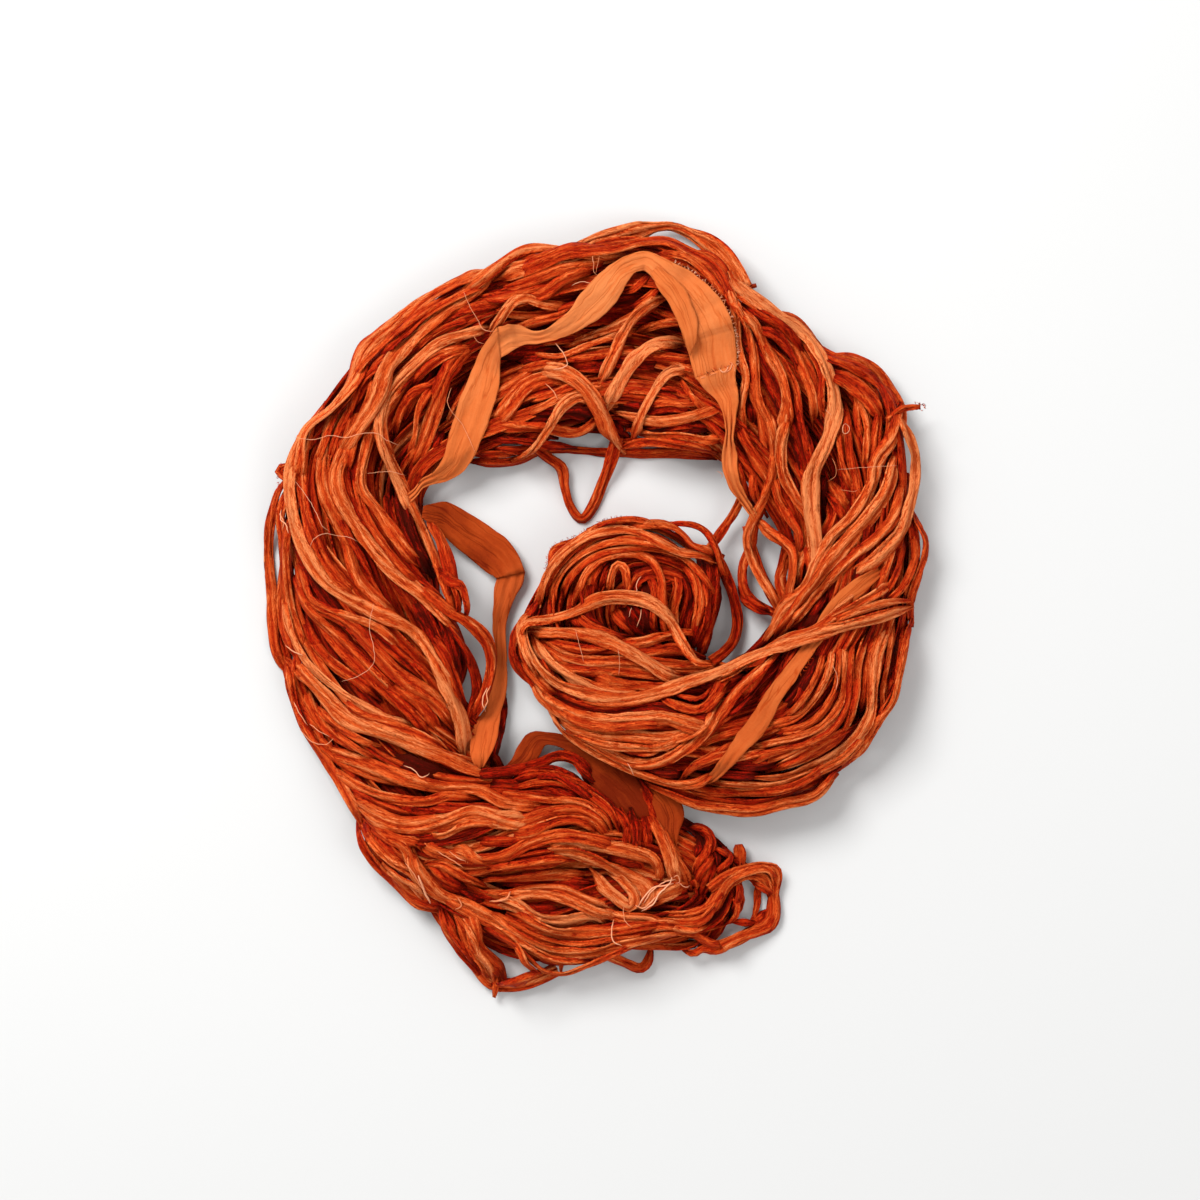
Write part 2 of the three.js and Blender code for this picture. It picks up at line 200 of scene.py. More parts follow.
LAID_WRINKLES = ((0.24, 5), (0.10, 2.2))
LOOSE_REST = 2.2        # lowest height of the middle of a loose ribbon
LAID_PATCH = (1.2, 0.2)
PATCH_FALL = 0.35       # how far the rim of a patch on the pile lies lower, as a share of its radius

# ---------------------------------------------------------------- how a band lies
DRAPE_ROUNDS = 40       # how often a draped band is eased over the hollows
BAND_FEEL = 2.0         # how far round each place it feels the pile
EDGE_DROP = 0.05        # how much lower its edges are than the places beside them
BAND_THICK = 0.6
BAND_REST = 0.9         # its lowest height
LONG_FOLDS = (-0.24, 0.17)          # where its long folds lie across it, as shares of its width
FOLD_WIDTH = 1.5
FOLD_STRAY = Varying(0.0, [(0.16, 30)])
FOLD_HEIGHT = Varying(0.6, [(0.4, 14)])
WAVE_SPAN = 9
WAVE_ACROSS = 3.1       # how far a wave turns across the band, in radians
WAVE_START = 0.4
PINCH_UNDER = 9         # a band narrower than this is pinched into pleats
PINCH = 1.4             # which get deeper towards this the narrower it is
PINCH_DRIFT = Varying(0.0, [(0.8, 12)])
RAGGED = Varying(0.0, [(0.35, 5), (0.25, 2)])
CRINKLE = 0.16
CRINKLE_SPAN = 4
CRINKLE_WIDTH = 8       # a band this wide has its full crinkles
BAND_TONE = Varying(0.0, [(0.06, 20)])
BAND_PATCH = (1.5, 0.4)

# ---------------------------------------------------------------- threads and fibres
THREAD_STEP = 1.2       # between the sections of a thread
THREAD_FEEL = 1.5       # how far round it a thread feels the pile
THREAD_STEEPEST = 0.6   # the steepest that it dips into a hollow
THREAD_ROUNDS = 3       # how often its run is smoothed
THREAD_LIFT = 0.2       # how far it stays off what it lies on
THREAD_HALF = 0.25      # and how far its middle does, as a share of its thickness
THREAD_DIP = 1.2        # how deep its ends dip
THREAD_DIP_RUN = 2.5
THREAD_SHAKE = 0.15
THREAD_SHARE = 0.62     # how thick its core is, as a share of how thick it looks
THREAD_TONE = 0.45
THREAD_TONE_RANGE = 0.3
THREAD_END = 0.45       # how thick a thread's ends are, as a share of the rest
SQUARE = 4              # sides of a thread's section
FUZZ_STEP = 1.0
FUZZ_FEEL = 2.0
FUZZ_DEPTH = 0.8        # how deep in the pile fuzz starts
FUZZ_UP = 0.4           # how much it leans upwards
FIBRE = 0.22            # thickness of a fibre
FIBRE_REST = 0.2        # lowest height of a fibre's middle
FIBRE_POINTS = 4
SHORTEST = 0.3          # shortest fibre, as a share of the longest
FIBRE_ASIDE = 0.9       # how far fibres spread along the edge
FIBRE_TILT = 0.5        # and up and down
BEND_ASIDE = 0.5        # how far they bend along the edge, as a share of their length
BEND_DOWN = 0.3         # and down, or a little up
BEND_RANGE = (-1, 0.4)
FRAYED_COUNT = 150      # fibres on the torn edge of the wide band
FRAYED_LONGEST = 2.1
TORN_FROM = (36, 104)   # its left edge is torn where x and y are over these

# ---------------------------------------------------------------- colours
# A material's colours by tone, from 0, dark, to 1, light.
RUST = [(0.0, (0.065, 0.0005, 0.0003)), (0.1, (0.21, 0.0015, 0.0003)), (0.27, (0.37, 0.006, 0.0007)),
        (0.55, (0.53, 0.041, 0.0045)), (0.8, (0.68, 0.108, 0.018)), (1.0, (0.81, 0.235, 0.076))]
ORANGE = [(0.0, (0.40, 0.055, 0.008)), (0.5, (0.56, 0.125, 0.028)), (1.0, (0.66, 0.20, 0.060))]
BROWN = [(0.0, (0.155, 0.011, 0.0015)), (0.4, (0.34, 0.040, 0.005)), (1.0, (0.55, 0.10, 0.020))]
PALE = [(0.0, (0.50, 0.08, 0.02)), (0.5, (0.74, 0.24, 0.10)), (1.0, (0.85, 0.52, 0.34))]
SHEEN_TINT = (1.0, 0.34, 0.10, 1)
SHINE_TINT = (1.0, 0.50, 0.28, 1)
SHEEN_ROUGH = 0.5

# ---------------------------------------------------------------- the floor and the lights, in metres
FLOOR_REACH = 3.0
FLOOR_COLOUR = (0.62, 0.62, 0.615, 1)
FLOOR_ROUGH = 0.9
SKY = 0.60              # strength of the white light from all round
Lamp = namedtuple("Lamp", "name spot size power")
LAMPS = [
    Lamp("key", (-0.9, 1.1, 1.5), 1.0, 53),
    Lamp("fill", (1.2, -0.6, 1.4), 1.4, 10),
]

# ---------------------------------------------------------------- the bundle's sections
# One row per section, from the looped end to the close of the curl: the outer and inner edge on
# the table, the height, and how far the strands have turned round the bundle, in degrees.
Section = namedtuple("Section", "outer_x outer_y inner_x inner_y height turn")
BUNDLE = [
    Section(86, -150, 81, -137, 8, 0),
    Section(76, -160, 68, -128, 14, 4),
    Section(58, -168, 52, -117, 21, 8),
    Section(36, -170, 32, -100, 27, 14),
    Section(6, -173, 7, -89, 31, 22),
    Section(-26, -184, -19, -81, 33, 34),
    Section(-58, -180, -39, -78, 34, 56),
    Section(-90, -145, -50, -78, 34, 92),
    Section(-116, -113, -55, -66, 34, 136),
    Section(-137, -75, -60, -47, 34, 184),
    Section(-155, -30, -68, -18, 33, 228),
    Section(-164, 10, -73, 10, 33, 260),
    Section(-164, 45, -81, 38, 33, 282),
    Section(-155, 79, -93, 60, 33, 298),
    Section(-132, 113, -79, 74, 33, 308),
    Section(-104, 145, -60, 76, 33, 316),
    Section(-75, 168, -39, 79, 33, 322),
    Section(-39, 179, -19, 82, 32, 328),
    Section(1, 183, 5, 89, 31, 332),
    Section(40, 181, 29, 84, 31, 332),
    Section(70, 163, 54, 76, 32, 326),
    Section(102, 140, 66, 66, 33, 314),
    Section(134, 121, 78, 52, 34, 298),
    Section(153, 94, 97, 37, 35, 278),
    Section(161, 55, 100, 13, 36, 258),
    Section(163, 20, 92, -7, 37, 242),
    Section(157, -15, 84, -18, 38, 230),
    Section(150, -50, 71, -31, 39, 224),
    Section(129, -78, 57, -34, 40, 222),
    Section(99, -98, 46, -34, 41, 224),
    Section(66, -100, 36, -29, 42, 230),
    Section(31, -90, 24, -24, 42, 246),
    Section(-4, -70, 17, -19, 41, 270),
    Section(-28, -44, 13, -12, 40, 300),
    Section(-38.5, -14, 13, -6, 38, 330),
    Section(-25.5, 15, 15, 0, 37, 356),
    Section(-11, 36, 18, 4, 36, 376),
    Section(15, 41, 22, 5, 35, 392),
    Section(38, 30, 26, 3, 33, 406),
    Section(53, 18, 29, -1, 28, 418),
    Section(57, 0, 30, -6, 22, 428),
    Section(54, -16, 31, -11, 16, 436),
]

# ---------------------------------------------------------------- loose loops beside the bundle
# A row is the middle of the ribbon there, how wide it lies and how far its face leans over.
Loose = namedtuple("Loose", "x y z width lean")
LOOSE_LOOPS = {
    "top_loop": [
        Loose(-24, 176, 14, 7, 20),
        Loose(-10, 180, 17, 7, 20),
        Loose(0, 184.5, 15, 8, 20),
        Loose(10, 187, 12, 9, 20),
        Loose(20, 189, 10, 9, 20),
        Loose(30, 190.9, 8, 4.6, 20),
        Loose(38, 191.2, 7, 4, 20),
        Loose(47, 187.6, 8, 5, 20),
        Loose(55, 183, 10, 9, 20),
        Loose(62.3, 177, 14, 10, 20),
        Loose(68, 169, 18, 10, 20),
        Loose(73.5, 160, 20, 8, 15),
    ],
    "v_loop": [
        Loose(-34, 82, 12, 5, 10),
        Loose(-25, 75.5, 8, 5, 10),
        Loose(-18.5, 70.3, 5, 6, 15),
        Loose(-17, 61, 3.5, 6, 20),
        Loose(-14.2, 51.5, 3, 6, 15),
        Loose(-8, 45, 3, 5, 5),
        Loose(-2, 51.5, 3, 6, 15),
        Loose(2.2, 62, 4, 6, 20),
        Loose(6.8, 74, 8, 6, 15),
        Loose(10, 86, 12, 5, 10),
    ],
    "eye_loop": [
        Loose(57, 31, 16, 5, 20),
        Loose(63.5, 17, 10, 6, 20),
        Loose(68.5, 3, 6, 5, 20),
        Loose(70, -8, 6, 5, 15),
        Loose(67, -18, 8, 5, 15),
        Loose(57, -26, 14, 5, 15),
    ],
    "right_loop": [
        Loose(83, 53, 14, 5.5, 15),
        Loose(78.5, 44, 9, 5.5, 15),
        Loose(76.5, 33, 7, 5.5, 15),
        Loose(72.5, 21, 8, 5, 10),
        Loose(73.3, 10, 10, 5, 15),
        Loose(79, 3, 9, 5.5, 15),
        Loose(89, -2, 12, 5.5, 15),
    ],
    "tail_loop": [
        Loose(56, -140, 17, 6, 10),
        Loose(64, -134, 16, 6, 10),
        Loose(74, -130, 13, 6, 15),
        Loose(84, -129, 9, 6, 15),
        Loose(89.6, -131.8, 6, 6, 15),
        Loose(88, -145, 4, 6, 10),
        Loose(87.3, -154, 4, 7, 10),
        Loose(83, -159, 5, 7, 10),
        Loose(72, -163.2, 8, 5, 10),
        Loose(62, -168, 12, 5, 10),
    ],
    "corner_loop": [
        Loose(-84, -143.5, 11, 8, 20),
        Loose(-76.3, -154.5, 8, 8, 15),
        Loose(-67, -166, 6, 8, 15),
        Loose(-59.5, -177, 5, 8, 15),
        Loose(-53, -185.4, 4, 7, 10),
        Loose(-43, -187.8, 4, 6, 10),
        Loose(-31, -185, 5, 6, 10),
        Loose(-20, -180, 9, 6, 10),
    ],
}
LOOP_TONES = {
    "top_loop": 0.72,
    "v_loop": 0.38,
    "eye_loop": 0.28,
    "right_loop": 0.34,
    "tail_loop": 0.5,
    "corner_loop": 0.5,
}
LOOSE_TONE = 0.45       # tone of the loose ends
LOOSE_ENDS = [
    [Loose(70.6, -117.4, 4, 3.4, 0), Loose(70.7, -119, 4.5, 5.4, 0), Loose(70.9, -123, 5, 6, 0),
     Loose(71, -133, 8, 5, 0)],
    [Loose(146, 94, 24, 5, 10), Loose(151, 99, 22, 4, 20), Loose(156, 100.8, 20, 2.4, 20),
     Loose(161.5, 101.2, 19, 2, 10)],
    [Loose(-152, 62, 16, 4, 10), Loose(-157, 66.5, 14, 4, 20), Loose(-159.5, 69.5, 13, 4, 20),
     Loose(-157, 71.5, 14, 3, 10), Loose(-153, 70, 16, 3, 0)],
    [Loose(58, 148, 22, 4, 10), Loose(66, 154.5, 20, 4, 10), Loose(73, 159.8, 19, 3, 10),
     Loose(79.5, 162, 18, 1.8, 10)],
    [Loose(-50, -183, 9, 3.4, 10), Loose(-51, -189.5, 7, 3, 10), Loose(-51.7, -193.8, 4, 1.4, 10)],
    [Loose(56, 30, 14, 5, 10), Loose(61, 37.5, 9, 5, 10), Loose(67, 46.5, 10, 4, 10),
     Loose(72, 56, 16, 4, 0)],
    [Loose(75, 42, 8, 4, 10), Loose(78.5, 27, 7, 5, 10), Loose(84.5, 12, 8, 6, 10), Loose(92, 0, 12, 6, 0)],
    [Loose(96, 34, 14, 5, 0), Loose(93, 22, 9, 5, 10), Loose(91, 14, 8, 5, 10), Loose(94, 4, 12, 5, 0)],
]

# ---------------------------------------------------------------- flat bands of uncrumpled ribbon
# A row is the band's two edges at one place and how far it stands off what it lies on. Two rows
# with the same edges are a fold.
Edge = namedtuple("Edge", "left_x left_y right_x right_y lift")
WIDE_BAND = [
    Edge(-96, 57, -94, 53, -4),
    Edge(-92, 60, -90, 57, -1),
    Edge(-88, 65, -87, 61, 0.3),
    Edge(-83, 68, -81, 62.8, 0.4),
    Edge(-80, 71, -74, 64.5, 0.4),
    Edge(-77, 77, -66.5, 69, 0.4),
    Edge(-75, 85, -61, 77.5, 0.4),
    Edge(-72, 94, -57, 87, 0.4),
    Edge(-69.5, 103, -53.5, 97, 0.5),
    Edge(-66, 112, -50.5, 106, 0.6),
    Edge(-62, 121, -49, 114, 0.8),
    Edge(-58, 131, -48.8, 120, 1.2),
    Edge(-53, 137, -48.8, 123, 1.9),
    Edge(-50, 141, -48.6, 125.5, 2.1),
    Edge(-50, 141, -48.6, 125.5, 0.9),
    Edge(-45, 142.8, -43, 129.5, 0.9),
    Edge(-39, 141.8, -36.5, 132.2, 0.9),
    Edge(-32, 138.8, -30, 133, 0.6),
    Edge(-26, 140.3, -23.5, 134, 0.5),
    Edge(-19.5, 145, -16, 136.5, 0.4),
    Edge(-13, 150.5, -7, 141, 0.4),
    Edge(-8.5, 157.5, 2, 146.5, 0.4),
    Edge(-3, 164, 9.5, 154, 0.5),
    Edge(3, 170, 14, 162.5, 0.9),
    Edge(11, 175, 18, 167.5, 1.4),
    Edge(18.5, 178, 21.5, 169.4, 2.0),
    Edge(24.5, 179, 23.8, 169.8, 0.9),
    Edge(31, 177, 26.5, 167, 1.6),
    Edge(39, 173, 30, 161.5, 0.9),
    Edge(48, 168, 34, 155, 0.5),
    Edge(57, 161, 38, 148, 0.4),
    Edge(64, 152, 41, 141, 0.4),
    Edge(68.3, 141, 43.8, 133.5, 0.4),
    Edge(69.5, 130, 46.5, 124, 0.4),
    Edge(69.5, 121.5, 49.5, 115, 0.5),
]
SEWN_LENGTH = [
    Edge(69.8, 122.8, 49.2, 115.8, 0.9),
    Edge(69.3, 117, 52.5, 111.5, 1.0),
    Edge(69.8, 111, 56, 108, 0.7),
    Edge(70, 104, 60.5, 103, 0.6),
    Edge(69, 95, 63.5, 95, 0.5),
    Edge(68, 86, 64, 86, 0.6),
    Edge(69.5, 78, 62.5, 77, 0.6),
    Edge(70, 69, 63, 69.5, 0.6),
    Edge(72.5, 60, 67, 59.5, 0.5),
    Edge(78, 51, 74, 50, -1),
    Edge(81, 45, 79, 43, -4),
]
WIDE_FLAP = [
    Edge(30, 172, 26.5, 168, 0.2),
    Edge(36.5, 167.5, 29.7, 162.5, 1.0),
    Edge(42, 162.5, 34, 155.5, 1.2),
    Edge(46, 156, 38, 148.5, 1.3),
    Edge(48.7, 149, 41, 141.5, 1.2),
    Edge(50, 142, 43.8, 134.5, 0.9),
    Edge(49.5, 134, 46.5, 127, 0.3),
]
LOWER_BAND = [
    Edge(140, 21, 143, 18, -4),
    Edge(134, 18, 138, 13, 0),
    Edge(127, 14, 132, 7, 0.5),
    Edge(119, 7, 126, 0, 0.6),
    Edge(112.5, -1, 120, -7, 0.6),
    Edge(107, -12, 112, -16, 0.6),
    Edge(100, -21, 106, -25, 0.6),
    Edge(92.5, -31, 99.5, -35, 0.6),
    Edge(85, -40, 92.5, -45, 0.6),
    Edge(79, -50, 87.5, -55, 0.7),
    Edge(72, -59.5, 80.5, -65, 0.8),
    Edge(65.5, -68.5, 72, -73, 0.8),
    Edge(60.5, -77, 65.5, -80, 0.7),
    Edge(55, -83.5, 58.5, -86, 0.6),
    Edge(48.5, -86.5, 49.5, -88.5, 0.5),
    Edge(42, -87, 41, -89.5, -3),
]
INNER_BAND = [
    Edge(-88, 46, -87, 51.5, 0),
    Edge(-83, 42.5, -82.5, 53.2, 0),
    Edge(-77.3, 37.2, -76, 54, 0),
    Edge(-70.6, 31.3, -68.5, 50.3, 0),
    Edge(-63.6, 25.3, -60, 45.5, 0),
    Edge(-57.1, 20.3, -51.5, 39.5, 0),
    Edge(-52.9, 17.2, -45, 35, 0.5),
    Edge(-51.4, 15.7, -39.5, 28, 1.2),
    Edge(-50.5, 15.6, -36, 19, 1.6),
    Edge(-50.5, 15.6, -36, 19, 0.4),
    Edge(-51.5, 11, -37.5, 12.5, 0.2),
    Edge(-51.8, 4, -41, 6.5, 0),
    Edge(-52.3, -4, -44, 0, 0),
    Edge(-52, -11, -46, -8, 0),
    Edge(-51.5, -18, -46, -16, 0),
    Edge(-51, -25, -45.3, -24, 0),
    Edge(-52, -32, -45, -32, 0),
    Edge(-53.7, -41, -45.5, -41, 0),
    Edge(-56, -49.5, -47.5, -49, 0.3),
    Edge(-61.5, -57, -49, -56, 0.5),
    Edge(-64, -65, -50.5, -65, 0.5),
    Edge(-63.5, -73, -53.5, -72, 0),
    Edge(-61, -79, -57, -79, -4),
]
TAIL_BAND = [
    Edge(-52, -82, -43, -86, -3),
    Edge(-47, -79, -40, -80, 0.4),
    Edge(-43, -74.5, -33.5, -77.5, 0.4),
    Edge(-39.6, -67.5, -29.5, -74.3, 0.4),
    Edge(-36, -62.6, -27.2, -69.8, 0.4),
    Edge(-31, -60.8, -25.5, -67.8, 0.4),
    Edge(-26, -61.6, -22.5, -68, 0.4),
    Edge(-19, -62.3, -18, -69, 0.4),
    Edge(-10, -64, -14, -73, 0.3),
    Edge(0, -70, -8, -80, 0.3),
    Edge(10, -76, -3, -88, 0.3),
    Edge(18, -82, 4, -95, 0.3),
    Edge(24, -91, 11, -101, 0.3),
    Edge(28, -101, 18, -104, 0),
    Edge(31, -109, 25, -110, -4),
]
TAIL_FLAP = [
    Edge(24, -80, 16, -84, -4),
    Edge(34, -89, 22, -91, 0.3),
    Edge(41.5, -96, 26, -98, 0.3),
    Edge(43.4, -104, 30, -107, 0.3),
    Edge(40.5, -112, 33, -113, 0.3),
    Edge(39.5, -120, 37, -121, -3),
]

# ---------------------------------------------------------------- lengths laid on the bundle
# Each row is a length of ribbon that shows on top: how wide it lies, its tone from 0, dark, to 1,
# light, and the places it runs through. A row lies on the rows before it. A length with a tone below
# 0 is near black, painted shade laid over a deep gap.
Laid = namedtuple("Laid", "width tone route")
DEEP_LENGTHS = [
    Laid(7, 0.22, [(-28, 6), (-34.4, -5), (-39.6, -13), (-40.4, -21), (-36.4, -32)]),
    Laid(5, 0.25, [(-150, 1), (-146.5, -7), (-142, -15), (-134, -25)]),
    Laid(5, 0.12, [(18, -81), (23, -88.5), (26.6, -96), (29.5, -104), (33, -112)]),
    Laid(4, 0.20, [(-8.5, -80), (-6, -84.5), (-3, -90)]),
    Laid(5, 0.30, [(145, 98), (149, 86), (149, 74), (146, 62)]),
    Laid(6, 0.34, [(40, 172), (47, 175.5), (53, 176.2), (58.8, 173), (63.6, 167), (67, 160), (68, 150),
                   (66, 142)]),
    Laid(6, 0.35, [(155, 68), (155.5, 57), (157, 46), (158, 34)]),
    Laid(6, 0.25, [(154, -6), (152, -22), (148, -38), (141, -51), (132, -62)]),
    Laid(6, 0.22, [(-104, 134), (-90, 146), (-76, 156), (-64, 162), (-50, 166)]),
    Laid(6, 0.22, [(-126, 98), (-118, 110), (-112, 122), (-100, 133)]),
    Laid(7, 0.22, [(-8, 177), (8, 182.4), (26, 181), (42, 174), (54, 165)]),
    Laid(4, 0.22, [(69, -120.5), (71.5, -127), (69, -134)]),
    Laid(6, 0.30, [(-64, 78), (-50, 77), (-38, 79)]),
    Laid(6, 0.25, [(28, -88), (42, -92.5), (56, -96)]),
    Laid(6, 0.30, [(102, -93), (111, -88.5), (119, -80)]),
    Laid(9, 0.12, [(-84, 4), (-75, -8), (-70, -18), (-68, -27), (-69.5, -36), (-69, -48)]),
    Laid(8, 0.10, [(-90, 12), (-82, -2), (-77, -14), (-74, -28), (-73, -42)]),
    Laid(8, 0.05, [(-104, 62), (-103, 48), (-98, 34), (-90, 22), (-84, 10)]),
    Laid(6, 0.22, [(-88, 42), (-82, 28), (-78, 16)]),
    Laid(6, 0.35, [(-160, -10), (-155.5, -27), (-150.5, -42), (-143, -58), (-134, -74)]),
    Laid(7, 0.30, [(-118, -103), (-114, -115), (-106, -126.5), (-96, -136)]),
    Laid(7, 0.30, [(-107, -111), (-100, -120.5), (-94, -129)]),
    Laid(7, 0.26, [(-152, 66), (-147.5, 79), (-141.5, 89.5), (-130, 100)]),
    Laid(6, 0.20, [(-148, 50), (-146, 38), (-141, 26)]),
    Laid(6, 0.20, [(-135, 66), (-133, 54), (-127, 44)]),
    Laid(8, 0.05, [(-92, 104), (-84, 116), (-76, 124)]),
    Laid(8, 0.05, [(-78, 98), (-70, 108), (-64, 116)]),
    Laid(8, 0.05, [(-88, 76), (-80, 86), (-74, 94)]),
    Laid(7, 0.04, [(-52, 125.5), (-36, 129), (-20, 130.5)]),
    Laid(7, 0.04, [(-20, 124.5), (-4, 124.5), (14, 124), (36, 123.5)]),
    Laid(6, 0.08, [(-18, 89.5), (-6, 90), (6, 89)]),
    Laid(6, 0.06, [(5, 94), (14, 93), (24, 90.5)]),
    Laid(7, 0.04, [(34, 90.5), (48, 90.5), (60, 90)]),
    Laid(6, 0.45, [(30, 180), (40, 180.5), (48.5, 177), (57, 171.5), (63, 166), (68, 157), (71, 146)]),
    Laid(6, 0.20, [(94, 144), (101, 138), (106, 130)]),
    Laid(6, 0.15, [(84, 142), (91, 135), (96, 126)]),
    Laid(6, 0.10, [(74, 110), (77, 100), (79, 90)]),
    Laid(6, 0.05, [(113, 72), (114, 62), (113, 52)]),
    Laid(6, 0.30, [(138, 112), (143, 102), (144, 90)]),
    Laid(7, 0.35, [(112, 126), (122, 119.5), (132, 112)]),
    Laid(7, 0.36, [(155, 50), (158.5, 39), (159.8, 29), (157.2, 15), (153.5, 2)]),
    Laid(5, 0.30, [(71, 12), (74, 5.5), (81, 1), (89, -3)]),
    Laid(9, 0.03, [(115, 11), (108, 1), (102, -7), (93, -13)]),
    Laid(8, 0.05, [(101, -13), (94, -25), (86, -37), (76, -50)]),
    Laid(9, 0.05, [(30, -38), (46, -40), (60, -38), (74, -32)]),
    Laid(6, 0.15, [(144, -14), (141.5, -28), (139, -42)]),
    Laid(7, 0.10, [(62, -79), (78, -78), (92, -76)]),
    Laid(7, 0.10, [(56, -83.5), (70, -84.5), (84, -84)]),
    Laid(7, 0.10, [(22, -79.5), (34, -83), (46, -84)]),
    Laid(6, 0.25, [(57.3, 24), (58.3, 10), (57, -2), (55, -14), (53, -22)]),
    Laid(7, 0.20, [(-33, -4), (-39, -13), (-38.5, -24), (-32, -35)]),
    Laid(5, 0.08, [(-49.5, -34), (-47.6, -47), (-48.6, -58), (-50.4, -70), (-53, -79)]),
    Laid(8, 0.05, [(-12, -87), (-4, -90), (6, -98), (12, -106)]),
    Laid(8, 0.08, [(-60, -86), (-44, -87), (-28, -87), (-16, -91), (-4, -97)]),
    Laid(8, 0.08, [(-60, -93), (-44, -93), (-30, -93), (-16, -96)]),
    Laid(11, 0.05, [(17, -99), (18, -108), (20, -124)]),
    Laid(8, 0.12, [(52, -112), (56, -122), (54, -134), (50, -146)]),
    Laid(5, 0.30, [(64, -119), (70, -125), (77, -130)]),
    Laid(8, 0.05, [(-52, -137), (-34, -137), (-16, -136.5), (0, -138)]),
    Laid(8, 0.10, [(-80, -138), (-66, -143.5), (-52, -149)]),
    Laid(6, 0.10, [(-44, -150), (-30, -150.5), (-16, -151)]),
    Laid(6, 0.30, [(-38, -170), (-24, -175.5), (-8, -175), (8, -172)]),
]
